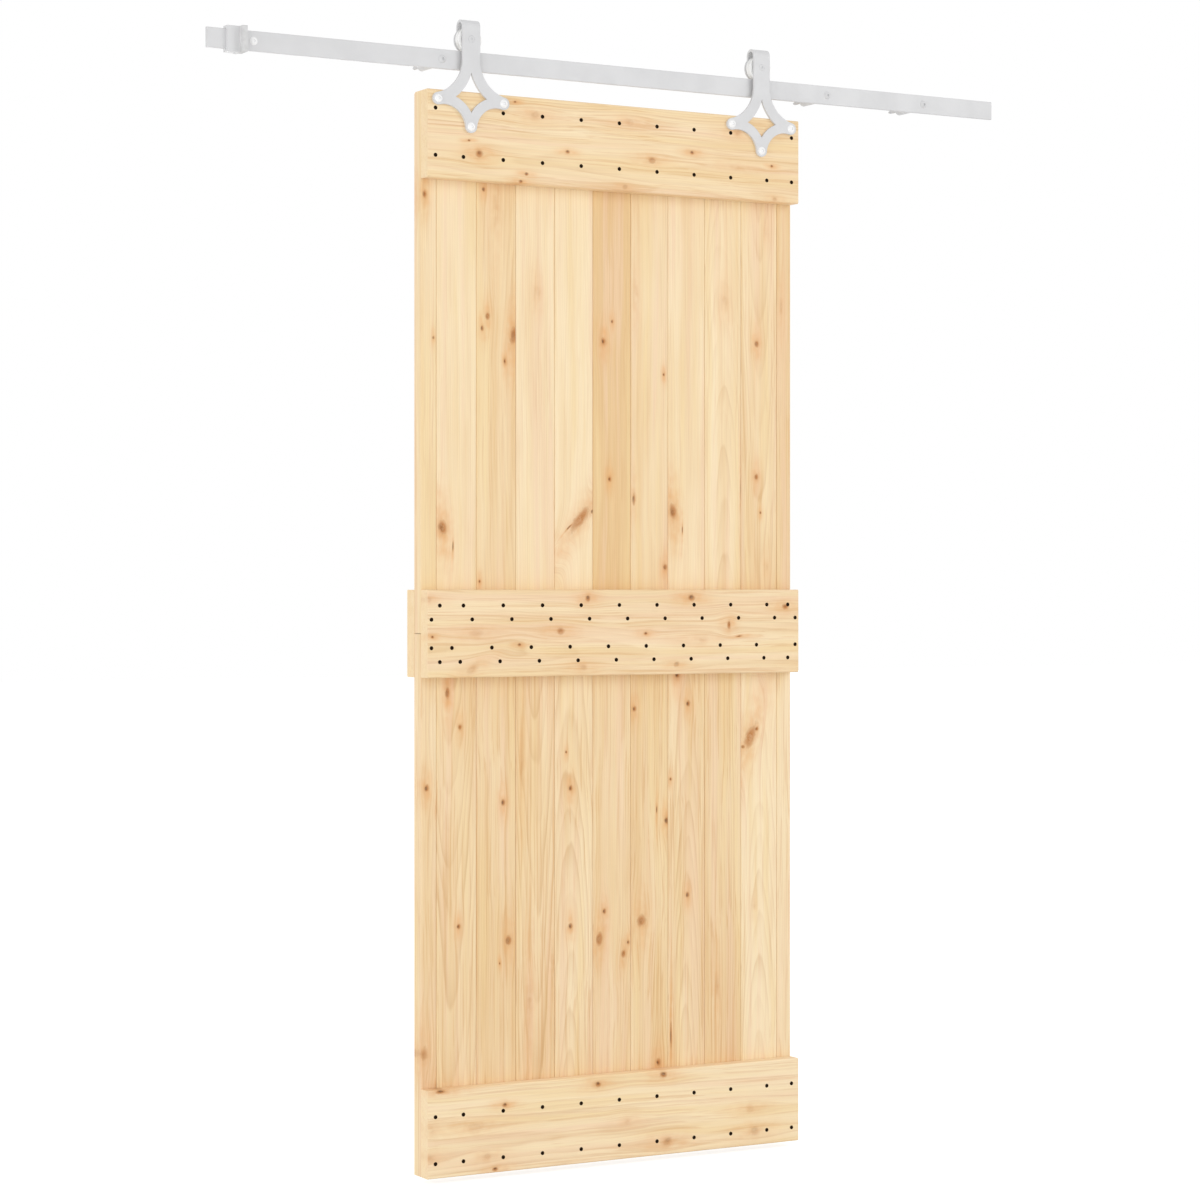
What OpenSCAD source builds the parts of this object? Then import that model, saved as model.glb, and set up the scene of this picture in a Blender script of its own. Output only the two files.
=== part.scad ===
// Sliding barn door: one boarded leaf of tongued and grooved pine that hangs by two bent straps
// and grooved wheels from a flat steel rail, with the spacers, wall bolts and end stop of the rail.
// Millimetres. X runs along the rail, +Y points into the wall, +Z points up.
// The origin lies on the wall plane, on the centre line of the rail at the middle of its length.

/* [Door leaf] */
// Width of the leaf
door_w = 850; // [600:1:1200]
// Height of the leaf
door_h = 2100; // [1800:10:2400]
// Where the leaf stands along the rail, from the middle of the rail to the middle of the leaf
door_offset = -22; // [-300:1:400]

/* [Boards] */
// Thickness of the boards
board_t = 30; // [24:0.5:34]
// Face width that one full board covers
board_cover = 87; // [84:0.5:88]
// Open joint between neighbouring board faces
joint_gap = 0.4; // [0.2:0.1:1.5]
// Chamfer along the long edges of each board
board_arris = 1.2; // [0.4:0.1:3]
// How far a tongue stands out of its board
tongue_l = 7; // [4:0.5:8]
// Thickness of a tongue
tongue_t = 8; // [5:0.5:9]
// Room round a tongue in its groove
tongue_play = 0.3; // [0.1:0.05:0.6]
// Open joint between the upper and the lower boards
panel_gap = 1; // [0.4:0.1:4]
// Round on the top back edge of the upper boards
top_round = 8; // [2:0.5:14]

/* [Battens] */
// Height of each batten
batten_h = 170; // [150:1:220]
// Thickness of each batten
batten_t = 30; // [27:0.5:32]
// Chamfer along the long edges of each batten
batten_arris = 2; // [0.5:0.1:5]

/* [Screws] */
// Diameter of the countersunk screw heads
screw_head_d = 8; // [7:0.1:10]
// Diameter of the screw shanks
screw_d = 4.5; // [3.5:0.1:5]
// Length of the screws in the top and bottom battens
screw_l = 50; // [42:1:52]
// Length of the screws that pass through both middle battens
long_screw_l = 80; // [70:1:86]
// Length of a screw's point
screw_tip = 7; // [4:0.5:10]
// Room round a screw in its hole
screw_play = 0.1; // [0.05:0.05:0.3]
// Upper screw row of the top batten, from the top of the leaf
top_row_a = 36; // [33:0.5:50]
// Lower screw row of the top batten, from the top of the leaf
top_row_b = 127; // [110:0.5:145]
// Lower screw row of the bottom batten, from the bottom of the leaf
bottom_row_a = 28.5; // [20:0.5:50]
// Upper screw row of the bottom batten, from the bottom of the leaf
bottom_row_b = 119; // [100:0.5:145]
// Outer screw rows of the middle batten, from mid height
middle_row_far = 54.5; // [45:0.5:70]
// Inner screw rows of the middle batten, from mid height
middle_row_near = 27.5; // [15:0.5:35]
// Sideways shift of the upper inner row on each full board
upper_near_shift = 19; // [-25:1:25]
// Sideways shift of the lower inner row on each full board
lower_near_shift = -25; // [-25:1:25]
// Sideways shift of the lower outer row on each full board
lower_far_shift = -7; // [-25:1:25]
// Distance of the inner rows' end screws from the side of the leaf
edge_screw_in = 8; // [7:0.5:12]
// Distance of the outer rows' end screws from the joint of the edge board
joint_screw_in = 7.5; // [5:0.5:10]

/* [Rail] */
// Length of the rail
rail_l = 1800; // [1700:10:2400]
// Height of the flat bar
rail_h = 38; // [34:0.5:45]
// Thickness of the flat bar
rail_t = 6; // [5:0.5:7]
// Chamfer on the edges of the flat bar
rail_arris = 0.8; // [0.2:0.1:1.5]
// First wall bolt, from the left end of the rail
bolt_left_a = 94; // [82:1:200]
// Second wall bolt, from the left end of the rail
bolt_left_b = 487; // [300:1:700]
// Third wall bolt, from the right end of the rail
bolt_right_b = 422; // [300:1:700]
// Last wall bolt, from the right end of the rail
bolt_right_a = 178; // [60:1:250]

/* [Wall fixings] */
// Length of the spacers, which set the rail off the wall
spacer_l = 84; // [80:0.5:110]
// Diameter of the spacers
spacer_d = 22; // [18:0.5:28]
// Chamfer at both ends of a spacer
spacer_arris = 1; // [0.3:0.1:2.5]
// Shank diameter of the wall bolts
lag_d = 8; // [6:0.5:10]
// Room round a wall bolt in the rail and the spacers
lag_play = 0.3; // [0.1:0.05:0.8]
// Head diameter of the wall bolts
lag_head_d = 16; // [14:0.5:20]
// Head height of the wall bolts
lag_head_h = 4; // [2.5:0.1:4.5]
// Diameter of the wall bolts' threaded length, which bites into the wall
lag_thread_d = 7.4; // [5:0.1:8]
// How far a wall bolt reaches into the wall
lag_grip = 40; // [30:1:90]
// Length of a wall bolt's point
lag_tip = 9; // [5:0.5:14]

/* [Hangers] */
// Open height between the rail and the top of the leaf
hang_gap = 41; // [30:0.5:60]
// Width of the bent strap
strap_w = 38; // [32:0.5:44]
// Thickness of the strap
strap_t = 5; // [4:0.25:6]
// Middle of each strap, from the side of the leaf
hanger_in = 92; // [86:0.5:130]
// Radius of the strap's round ends at the three bolts
lug_r = 12; // [10:0.25:14]
// Sideways distance of the two side bolts from the middle of the strap
lug_span = 71; // [62:0.5:76]
// Side bolts, below the top of the leaf
lug_drop = 18; // [14:0.5:20]
// Lower bolt, below the top of the leaf
toe_drop = 68; // [62:0.5:85]
// Radius of the hollow curves from the strap to the side bolts
flare_r = 70; // [62:0.5:90]
// Radius of the hollow curves from the side bolts to the lower bolt
foot_r = 45; // [40:0.5:60]
// Width of the two upper arms round the window
arm_w = 22.5; // [21:0.25:26]
// Width of the two lower arms round the window
foot_arm_w = 20; // [17:0.25:24]
// Radius of the strap's round rear end at the axle
eye_r = 25; // [21:0.25:27]

/* [Hanger bolts] */
// Shank diameter of the hanger bolts
bolt_d = 8; // [6:0.5:10]
// Room round a hanger bolt in the strap and the wood
bolt_play = 0.3; // [0.1:0.05:0.8]
// Head diameter of the hanger bolts
bolt_head_d = 17; // [14:0.5:20]
// Head height of the hanger bolts
bolt_head_h = 4.5; // [3:0.1:6]
// Outer diameter of the washers behind the leaf
washer_d = 20; // [18:0.5:30]
// Thickness of the washers behind the leaf
washer_t = 1.6; // [1:0.1:3]
// Width across the flats of the nuts
nut_flats = 13; // [11:0.5:17]
// Height of the nuts
nut_h = 6.5; // [5:0.5:9]
// How far the flat top of a nut lies inside its flats
nut_top_in = 0.3; // [0.1:0.05:0.6]
// Room round a bolt's thread in its nut
thread_play = 0.05; // [0.02:0.01:0.1]
// How far a bolt's end stands out of its nut
bolt_proud = 2; // [0.5:0.5:5]

/* [Wheels] */
// Radius at which the wheel rolls on the rail
wheel_r = 23; // [21:0.25:26]
// Running gap between the groove and the top of the rail
roll_gap = 0.3; // [0.1:0.05:0.6]
// Height of the flanges over the groove
flange_h = 2.3; // [1.5:0.1:4]
// Width of the wheel
wheel_w = 16; // [13:0.25:16.5]
// Width of the groove at its bottom
groove_w = 8; // [7.5:0.25:9]
// Slope of the groove's sides, as extra width at the flange's rim
groove_slope = 1.2; // [0.5:0.1:2]
// Room between the wheel and each leg of its strap
wheel_room = 1; // [0.6:0.1:2]
// Chamfer on the rims of the wheel
wheel_arris = 1; // [0.3:0.1:2]
// Wall of the wheel's hub round the bearing
hub_wall = 2; // [1.5:0.1:3]
// Wall of the wheel under its groove, at the faces
tread_wall = 3.5; // [2.5:0.1:5]
// Depth of the dished ring in each face of the wheel
dish_depth = 1.5; // [0.5:0.1:3]
// Outer diameter of the wheel bearing
bearing_d = 22; // [19:0.5:24]
// Width of the wheel bearing
bearing_w = 14; // [11:0.5:14.5]
// Thickness of the bearing's inner ring
inner_ring_t = 2; // [1.5:0.1:3]
// Thickness of the bearing's outer ring
outer_ring_t = 1.7; // [1:0.1:2.5]
// Depth of the shield recess in each face of the bearing
shield_depth = 0.6; // [0.2:0.1:1]
// Diameter of the axle bolts
axle_d = 8; // [6:0.5:9]
// Running clearance of the bearing and its collars on the axle
axle_run = 0.05; // [0.02:0.01:0.1]
// Room round an axle bolt in the strap
axle_play = 0.15; // [0.05:0.05:0.4]
// Side play of the bearing between its two collars
side_play = 0.2; // [0.1:0.05:0.4]
// Outer diameter of the collars beside the bearing
collar_d = 12.5; // [11:0.25:14]
// Head diameter of the axle bolts
axle_head_d = 14; // [12:0.5:20]
// Head height of the axle bolts
axle_head_h = 1.4; // [1:0.1:4]

/* [End stop] */
// Left face of the stop, from the left end of the rail
stop_in = 38; // [20:0.5:50]
// Length of the stop's sleeve along the rail
stop_l = 25.5; // [22:0.5:37]
// Room between the sleeve and the rail
stop_play = 0.2; // [0.1:0.05:0.4]
// Wall of the sleeve over, under and behind the rail
stop_wall = 5.3; // [4.5:0.1:8]
// Wall of the sleeve before the rail
stop_front = 7; // [6:0.1:10]
// Chamfer on the long edges of the sleeve
stop_arris = 1; // [0.3:0.1:2]
// Thickness of the bumper along the rail
bumper_l = 10; // [6:0.5:12]
// How far the bumper stands before the rail
bumper_front = 21; // [16:0.5:24]
// Chamfer on the bumper's long edges
bumper_arris = 1.5; // [0.5:0.1:2.5]
// Diameter of the set screws under the sleeve
set_d = 6; // [4:0.5:8]
// Room round a set screw
set_play = 0.1; // [0.05:0.05:0.2]
// Set screws, from the ends of the sleeve
set_in = 7; // [5:0.5:9]
// Key socket of a set screw, across its corners
set_key_d = 3.4; // [2:0.1:3.8]
// Depth of a set screw's key socket
set_key_depth = 2.8; // [1.5:0.1:3.5]
// Diameter of the two screws that hold the bumper
bumper_screw_d = 3; // [2.5:0.1:3.5]
// Head diameter of the bumper screws
bumper_screw_head_d = 5.6; // [5:0.1:6]
// Length of the bumper screws
bumper_screw_l = 22; // [18:0.5:26]

/* [Hidden] */
$fn = 96;
steel = "whitesmoke";
dark_steel = "dimgray";
zinc = "silver";
nylon = "white";
bumper_tone = "gainsboro";
board_tone = "wheat";
batten_tone = "burlywood";
screw_tone = "black";

// Small overlap of a cutting shape past the face that it cuts
past = 1;
// Slope of the chamfer on a nut's corners, in degrees
nut_slope = 30;
SIDES = [-1, 1];
SIDE_NAMES = ["left", "right"];

// Wheel and the strap bent over it
wheel_root = wheel_r - roll_gap;
wheel_rim = wheel_root + flange_h;
strap_gap = wheel_w + 2 * wheel_room;

// Planes of the leaf and the rail, from the wall outwards
rail_y = -(spacer_l + rail_t / 2);
rail_front = rail_y - rail_t / 2;
rail_back = rail_y + rail_t / 2;
leaf_front = rail_y - strap_gap / 2;
board_front = leaf_front + batten_t;
board_back = board_front + board_t;
strap_rear = leaf_front + strap_gap;

// Heights
leaf_top = -rail_h / 2 - hang_gap;
leaf_bottom = leaf_top - door_h;
leaf_mid = leaf_top - door_h / 2;
axle_z = rail_h / 2 + wheel_r;
strap_bend_z = axle_z + wheel_rim - wheel_arris;
lug_z = leaf_top - lug_drop;
toe_z = leaf_top - toe_drop;

// Boards across the leaf, counted from its left side: full ones between two ripped ones, which stay
// wide enough for a tongue and a screw on either side of their middle
edge_min = 2 * (tongue_l + screw_head_d);
full_boards = floor((door_w - 2 * edge_min) / board_cover);
BOARDS = full_boards + 2;
LAST = BOARDS - 1;
edge_w = (door_w - full_boards * board_cover) / 2;
function board_left(i) = i == 0 ? -door_w / 2 : -door_w / 2 + edge_w + (i - 1) * board_cover;
function board_right(i) = i == LAST ? door_w / 2 : board_left(i + 1);
function board_mid(i) = (board_left(i) + board_right(i)) / 2;
function is_edge(i) = i == 0 || i == LAST;
function side_of(i) = i == 0 ? -1 : 1;

// Screw places on the leaf, as [x, z]
top_screws = [for (i = [0 : LAST], row = [top_row_a, top_row_b]) [board_mid(i), leaf_top - row]];
bottom_screws = [for (i = [0 : LAST], row = [bottom_row_a, bottom_row_b])
    [board_mid(i), leaf_bottom + row]];
function near_x(i, shift) =
    is_edge(i) ? side_of(i) * (door_w / 2 - edge_screw_in) : board_mid(i) + shift;
function far_x(i, shift) =
    is_edge(i) ? side_of(i) * (door_w / 2 - edge_w + joint_screw_in) : board_mid(i) + shift;
middle_screws = [for (i = [0 : LAST]) each [
    [far_x(i, 0), leaf_mid + middle_row_far],
    [near_x(i, upper_near_shift), leaf_mid + middle_row_near],
    [near_x(i, lower_near_shift), leaf_mid - middle_row_near],
    [far_x(i, lower_far_shift), leaf_mid - middle_row_far]]];

// Hangers: middle of each strap on the leaf, and its three bolts
hanger_x = door_w / 2 - hanger_in;
hanger_holes = [[-lug_span, lug_z], [lug_span, lug_z], [0, toe_z]];
leaf_bolts = [for (side = SIDES, hole = hanger_holes) [side * hanger_x + hole[0], hole[1]]];

// Centres of the hollow curves of the strap, each tangent to the round ends it joins
flare_x = strap_w / 2 + flare_r;
flare_z = lug_z + sqrt(pow(flare_r + lug_r, 2) - pow(flare_x - lug_span, 2));
toe_reach = norm([lug_span, lug_z - toe_z]);
foot_out = sqrt(pow(foot_r + lug_r, 2) - pow(toe_reach / 2, 2));
foot_x = lug_span / 2 + foot_out * (lug_z - toe_z) / toe_reach;
foot_z = (lug_z + toe_z) / 2 - foot_out * lug_span / toe_reach;

// Wall bolts along the rail
lag_places = [-rail_l / 2 + bolt_left_a, -rail_l / 2 + bolt_left_b,
    rail_l / 2 - bolt_right_b, rail_l / 2 - bolt_right_a];

// End stop along the rail
stop_left = -rail_l / 2 + stop_in;
stop_right = stop_left + stop_l;
stop_top = rail_h / 2 + stop_play + stop_wall;
sleeve_front = rail_front - stop_play - stop_front;
sleeve_back = rail_back + stop_play + stop_wall;
set_places = [stop_left + set_in, stop_right - set_in];
bumper_screw_y = rail_front - stop_play - stop_front / 2;
bumper_screw_z = rail_h / 2 - stop_wall;

// Helpers

// Turns a shape that stands along +Z so that it points along +Y
module along_y() {
    rotate([-90, 0, 0]) children();
}

// Extrudes an outline drawn in X and Z from the plane y = front towards the wall
module plate_xz(front, thickness) {
    translate([0, front + thickness, 0]) rotate([90, 0, 0]) linear_extrude(thickness) children();
}

// Extrudes an outline drawn in Y and Z along X, from x = start
module bar_yz(start, length) {
    translate([start, 0, 0]) rotate([90, 0, 90]) linear_extrude(length) children();
}

// Rectangle from [x0, y0] to [x1, y1] with chamfered corners
module chamfered_box(low, high, cut) {
    polygon([
        [low[0] + cut, low[1]], [high[0] - cut, low[1]],
        [high[0], low[1] + cut], [high[0], high[1] - cut],
        [high[0] - cut, high[1]], [low[0] + cut, high[1]],
        [low[0], high[1] - cut], [low[0], low[1] + cut]]);
}

// Countersunk wood screw, its head in the plane z = 0, grown by play for its hole
module screw_body(length, play) {
    rotate_extrude() polygon([
        [0, -play], [screw_head_d / 2 + play, -play], [screw_head_d / 2 + play, 0],
        [screw_d / 2 + play, (screw_head_d - screw_d) / 2],
        [screw_d / 2 + play, length - screw_tip], [0, length + play]]);
}

// Low dome of the given rim diameter and height, its flat side in the plane z = 0 and its top at -height
module dome(diameter, height) {
    ball_r = (pow(diameter / 2, 2) + pow(height, 2)) / (2 * height);
    intersection() {
        translate([0, 0, ball_r - height]) sphere(ball_r);
        translate([0, 0, -height]) cylinder(d = diameter + past, h = height);
    }
}

// Screws or their holes at a list of places on the leaf, from the batten's front inwards
module leaf_screws(places, length, play) {
    for (p = places) translate([p[0], leaf_front, p[1]]) along_y() screw_body(length, play);
}

// Holes of the hanger bolts through the whole leaf
module leaf_bolt_holes() {
    for (p = leaf_bolts) translate([p[0], leaf_front - past, p[1]])
        along_y() cylinder(d = bolt_d + 2 * bolt_play, h = batten_t + board_t + 2 * past);
}

// Carries what is drawn about the leaf's middle to where the leaf stands at rest
module on_leaf() {
    translate([door_offset, 0, 0]) children();
}

// Carries what is drawn about a strap's middle to the left (-1) or right (1) hanger
module on_hanger(side) {
    on_leaf() translate([side * hanger_x, 0, 0]) children();
}

// Hexagonal nut on +Z from z = 0, with its bore and chamfered corners
module hex_nut(flats, height, bore) {
    corners = flats / cos(30);
    top_r = flats / 2 - nut_top_in;
    chamfer = (corners / 2 - top_r) * tan(nut_slope);
    difference() {
        intersection() {
            cylinder(d = corners, h = height, $fn = 6);
            rotate_extrude() polygon([[0, 0], [corners / 2, 0], [corners / 2, height - chamfer],
                [top_r, height], [0, height]]);
        }
        translate([0, 0, -past]) cylinder(d = bore, h = height + 2 * past);
    }
}

// Door leaf

// Plan section of one board, tongue to the right and groove to the left
module board_section(i) {
    low = board_left(i) + (i == 0 ? 0 : joint_gap / 2);
    high = board_right(i) - (i == LAST ? 0 : joint_gap / 2);
    mid = (board_front + board_back) / 2;
    slot = tongue_t / 2 + tongue_play;
    slot_in = low + tongue_l + tongue_play - joint_gap;
    difference() {
        chamfered_box([low, board_front], [high, board_back], board_arris);
        if (i > 0) translate([low - past, mid - slot]) square([slot_in - low + past, 2 * slot]);
    }
    if (i < LAST) translate([high - past, mid - tongue_t / 2]) square([tongue_l + past, tongue_t]);
}

// One board from z = low to z = high, with the holes of the screws and bolts that cross it
module board(i, low, high, screws, long_screws) {
    reach = tongue_l + screw_head_d;
    function crosses(p) = p[0] > board_left(i) - reach && p[0] < board_right(i) + reach;
    difference() {
        translate([0, 0, low]) linear_extrude(high - low) board_section(i);
        leaf_screws([for (p = screws) if (crosses(p)) p], screw_l, screw_play);
        leaf_screws([for (p = long_screws) if (crosses(p)) p], long_screw_l, screw_play);
        if (high > lug_z) board_top_cuts(i);
    }
}

// Round top back edge of an upper board and its hanger bolt holes
module board_top_cuts(i) {
    start = board_left(i) - past;
    run = board_right(i) + tongue_l - start + past;
    bar_yz(start, run) difference() {
        translate([board_back - top_round, leaf_top - top_round]) square(top_round + past);
        translate([board_back - top_round, leaf_top - top_round]) circle(top_round);
    }
    leaf_bolt_holes();
}

module upper_board(i) {
    color(board_tone) on_leaf() board(i, leaf_mid + panel_gap / 2, leaf_top, top_screws,
        [for (p = middle_screws) if (p[1] > leaf_mid) p]);
}

module lower_board(i) {
    color(board_tone) on_leaf() board(i, leaf_bottom, leaf_mid - panel_gap / 2, bottom_screws,
        [for (p = middle_screws) if (p[1] < leaf_mid) p]);
}

// Plain batten across the leaf, from y = front and z = low
module batten_bar(front, low) {
    bar_yz(-door_w / 2, door_w)
        chamfered_box([front, low], [front + batten_t, low + batten_h], batten_arris);
}

module top_batten() {
    color(batten_tone) on_leaf() difference() {
        batten_bar(leaf_front, leaf_top - batten_h);
        leaf_screws(top_screws, screw_l, screw_play);
        leaf_bolt_holes();
    }
}

module middle_batten_front() {
    color(batten_tone) on_leaf() difference() {
        batten_bar(leaf_front, leaf_mid - batten_h / 2);
        leaf_screws(middle_screws, long_screw_l, screw_play);
    }
}

module middle_batten_back() {
    color(batten_tone) on_leaf() difference() {
        batten_bar(board_back, leaf_mid - batten_h / 2);
        leaf_screws(middle_screws, long_screw_l, screw_play);
    }
}

module bottom_batten() {
    color(batten_tone) on_leaf() difference() {
        batten_bar(leaf_front, leaf_bottom);
        leaf_screws(bottom_screws, screw_l, screw_play);
    }
}

module top_batten_screws() {
    color(screw_tone) on_leaf() leaf_screws(top_screws, screw_l, 0);
}

module middle_batten_screws() {
    color(screw_tone) on_leaf() leaf_screws(middle_screws, long_screw_l, 0);
}

module bottom_batten_screws() {
    color(screw_tone) on_leaf() leaf_screws(bottom_screws, screw_l, 0);
}

// Hangers

// Region between the strap and its three bolts, drawn through the centres of its hollow curves
module hanger_field() {
    polygon([[-flare_x, flare_z], [flare_x, flare_z], [lug_span, lug_z], [foot_x, foot_z],
        [0, toe_z], [-foot_x, foot_z], [-lug_span, lug_z]]);
}

// What the four hollow curves leave of that region, with the curves grown by the given widths
module hanger_star(flare_grow, foot_grow) {
    difference() {
        hanger_field();
        for (side = SIDES) {
            translate([side * flare_x, flare_z]) circle(flare_r + flare_grow);
            translate([side * foot_x, foot_z]) circle(foot_r + foot_grow);
        }
    }
}

// Outline of the strap's front leg, from the bend down to its three bolts
module hanger_front_outline() {
    difference() {
        union() {
            translate([-strap_w / 2, flare_z]) square([strap_w, strap_bend_z - flare_z]);
            hanger_star(0, 0);
            for (hole = hanger_holes) translate(hole) circle(lug_r);
        }
        hanger_star(arm_w, foot_arm_w);
        for (hole = hanger_holes) translate(hole) circle(d = bolt_d + 2 * bolt_play);
        translate([0, axle_z]) circle(d = axle_d + 2 * axle_play);
    }
}

// Outline of the strap's rear leg, which ends in a round eye at the axle
module hanger_rear_outline() {
    difference() {
        union() {
            translate([-strap_w / 2, axle_z]) square([strap_w, strap_bend_z - axle_z]);
            translate([0, axle_z]) circle(eye_r);
        }
        translate([0, axle_z]) circle(d = axle_d + 2 * axle_play);
    }
}

// Half round bend over the wheel that joins the two legs
module hanger_bend() {
    translate([strap_w / 2, rail_y, strap_bend_z]) rotate([90, 0, -90]) rotate_extrude(angle = 180)
        translate([strap_gap / 2, 0]) square([strap_t, strap_w]);
}

module hanger_strap(side) {
    color(steel) on_hanger(side) {
        plate_xz(leaf_front - strap_t, strap_t) hanger_front_outline();
        hanger_bend();
        plate_xz(strap_rear, strap_t) hanger_rear_outline();
    }
}

// Dome headed bolts through the strap and the leaf
module hanger_bolts(side) {
    shank = strap_t + batten_t + board_t + washer_t + nut_h + bolt_proud;
    color(steel) on_hanger(side) for (hole = hanger_holes)
        translate([hole[0], leaf_front - strap_t, hole[1]]) along_y() {
            dome(bolt_head_d, bolt_head_h);
            cylinder(d = bolt_d, h = shank);
        }
}

module hanger_washers(side) {
    color(zinc) on_hanger(side) for (hole = hanger_holes)
        translate([hole[0], board_back, hole[1]]) along_y() difference() {
            cylinder(d = washer_d, h = washer_t);
            translate([0, 0, -past]) cylinder(d = bolt_d + 2 * bolt_play, h = washer_t + 2 * past);
        }
}

module hanger_nuts(side) {
    color(zinc) on_hanger(side) for (hole = hanger_holes)
        translate([hole[0], board_back + washer_t, hole[1]]) along_y()
            hex_nut(nut_flats, nut_h, bolt_d + 2 * thread_play);
}

// Grooved wheel, turned about the axle, with a dished ring in each face
module wheel(side) {
    half = wheel_w / 2;
    seat = bearing_d / 2;
    hub = seat + hub_wall;
    web = wheel_root - tread_wall;
    right = [[seat, half], [hub, half], [hub + dish_depth, half - dish_depth],
        [web - dish_depth, half - dish_depth], [web, half], [wheel_rim - wheel_arris, half],
        [wheel_rim, half - wheel_arris], [wheel_rim, groove_w / 2 + groove_slope],
        [wheel_root, groove_w / 2]];
    left = [for (i = [len(right) - 1 : -1 : 0]) [right[i][0], -right[i][1]]];
    color(nylon) on_hanger(side) translate([0, rail_y, axle_z]) along_y()
        rotate_extrude() polygon(concat(right, left));
}

// Sealed bearing that is pressed into the wheel and runs on the axle
module wheel_bearing(side) {
    half = bearing_w / 2;
    bore = axle_d / 2 + axle_run;
    rim = bearing_d / 2;
    inner = bore + inner_ring_t;
    outer = rim - outer_ring_t;
    face = half - shield_depth;
    color(zinc) on_hanger(side) translate([0, rail_y, axle_z]) along_y() rotate_extrude()
        polygon([[bore, -half], [inner, -half], [inner, -face], [outer, -face], [outer, -half],
            [rim, -half], [rim, half], [outer, half], [outer, face], [inner, face], [inner, half],
            [bore, half]]);
}

module axle_bolt(side) {
    shank = strap_gap + 2 * strap_t + nut_h + bolt_proud;
    color(steel) on_hanger(side) translate([0, leaf_front - strap_t, axle_z]) along_y() {
        dome(axle_head_d, axle_head_h);
        cylinder(d = axle_d, h = shank);
    }
}

// Two collars that keep the bearing in the middle between the strap's legs
module axle_collars(side) {
    thick = (strap_gap - bearing_w) / 2 - side_play;
    color(zinc) on_hanger(side) for (start = [leaf_front, strap_rear - thick])
        translate([0, start, axle_z]) along_y() difference() {
            cylinder(d = collar_d, h = thick);
            translate([0, 0, -past]) cylinder(d = axle_d + 2 * axle_run, h = thick + 2 * past);
        }
}

module axle_nut(side) {
    color(zinc) on_hanger(side) translate([0, strap_rear + strap_t, axle_z]) along_y()
        hex_nut(nut_flats, nut_h, axle_d + 2 * thread_play);
}

// Rail and its wall fixings

module rail() {
    color(steel) difference() {
        bar_yz(-rail_l / 2, rail_l)
            chamfered_box([rail_front, -rail_h / 2], [rail_back, rail_h / 2], rail_arris);
        for (x = lag_places) translate([x, rail_front - past, 0])
            along_y() cylinder(d = lag_d + 2 * lag_play, h = rail_t + 2 * past);
    }
}

module wall_spacer(i) {
    outer = spacer_d / 2;
    bore = lag_d / 2 + lag_play;
    color(steel) translate([lag_places[i], rail_back, 0]) along_y() rotate_extrude()
        polygon([[bore, 0], [outer - spacer_arris, 0], [outer, spacer_arris],
            [outer, spacer_l - spacer_arris], [outer - spacer_arris, spacer_l], [bore, spacer_l]]);
}

// Wall bolts: low dome head, plain shank through rail and spacer, threaded length and point in the wall
module wall_bolts() {
    shank = rail_t + spacer_l;
    thread_r = lag_thread_d / 2;
    color(steel) for (x = lag_places) translate([x, rail_front, 0]) along_y() {
        dome(lag_head_d, lag_head_h);
        cylinder(d = lag_d, h = shank);
        translate([0, 0, shank]) rotate_extrude() polygon([[0, -past], [thread_r, -past],
            [thread_r, lag_grip - lag_tip], [0, lag_grip]]);
    }
}

// End stop

// Slot that the rail fills, in Y and Z
module rail_slot() {
    translate([rail_front - stop_play, -rail_h / 2 - stop_play])
        square([rail_t + 2 * stop_play, rail_h + 2 * stop_play]);
}

module stop_sleeve() {
    color(steel) difference() {
        bar_yz(stop_left, stop_l) difference() {
            chamfered_box([sleeve_front, -stop_top], [sleeve_back, stop_top], stop_arris);
            rail_slot();
        }
        for (x = set_places) translate([x, rail_y, -stop_top - past])
            cylinder(d = set_d + 2 * set_play, h = stop_wall + stop_play + 2 * past);
        bumper_screw_holes();
    }
}

module stop_bumper() {
    color(bumper_tone) difference() {
        bar_yz(stop_right, bumper_l) difference() {
            chamfered_box([rail_front - bumper_front, -stop_top], [sleeve_back, stop_top], bumper_arris);
            rail_slot();
        }
        bumper_screw_holes();
    }
}

// Set screws that press up against the rail's lower edge, each with a key socket
module stop_set_screws() {
    length = stop_wall + stop_play;
    color(dark_steel) for (x = set_places) translate([x, rail_y, -stop_top]) difference() {
        cylinder(d = set_d, h = length);
        translate([0, 0, -past]) cylinder(d = set_key_d, h = set_key_depth + past, $fn = 6);
    }
}

// One countersunk bumper screw that points along -X from the bumper's face
module bumper_screw(play) {
    head = bumper_screw_head_d / 2 + play;
    shank = bumper_screw_d / 2 + play;
    translate([stop_right + bumper_l, 0, 0]) rotate([0, -90, 0]) rotate_extrude()
        polygon([[0, -play], [head, -play], [head, 0], [shank, head - shank],
            [shank, bumper_screw_l + play], [0, bumper_screw_l + play]]);
}

module bumper_screw_holes() {
    for (side = SIDES) translate([0, bumper_screw_y, side * bumper_screw_z]) bumper_screw(set_play);
}

module stop_bumper_screws() {
    color(dark_steel) for (side = SIDES)
        translate([0, bumper_screw_y, side * bumper_screw_z]) bumper_screw(0);
}

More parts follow.
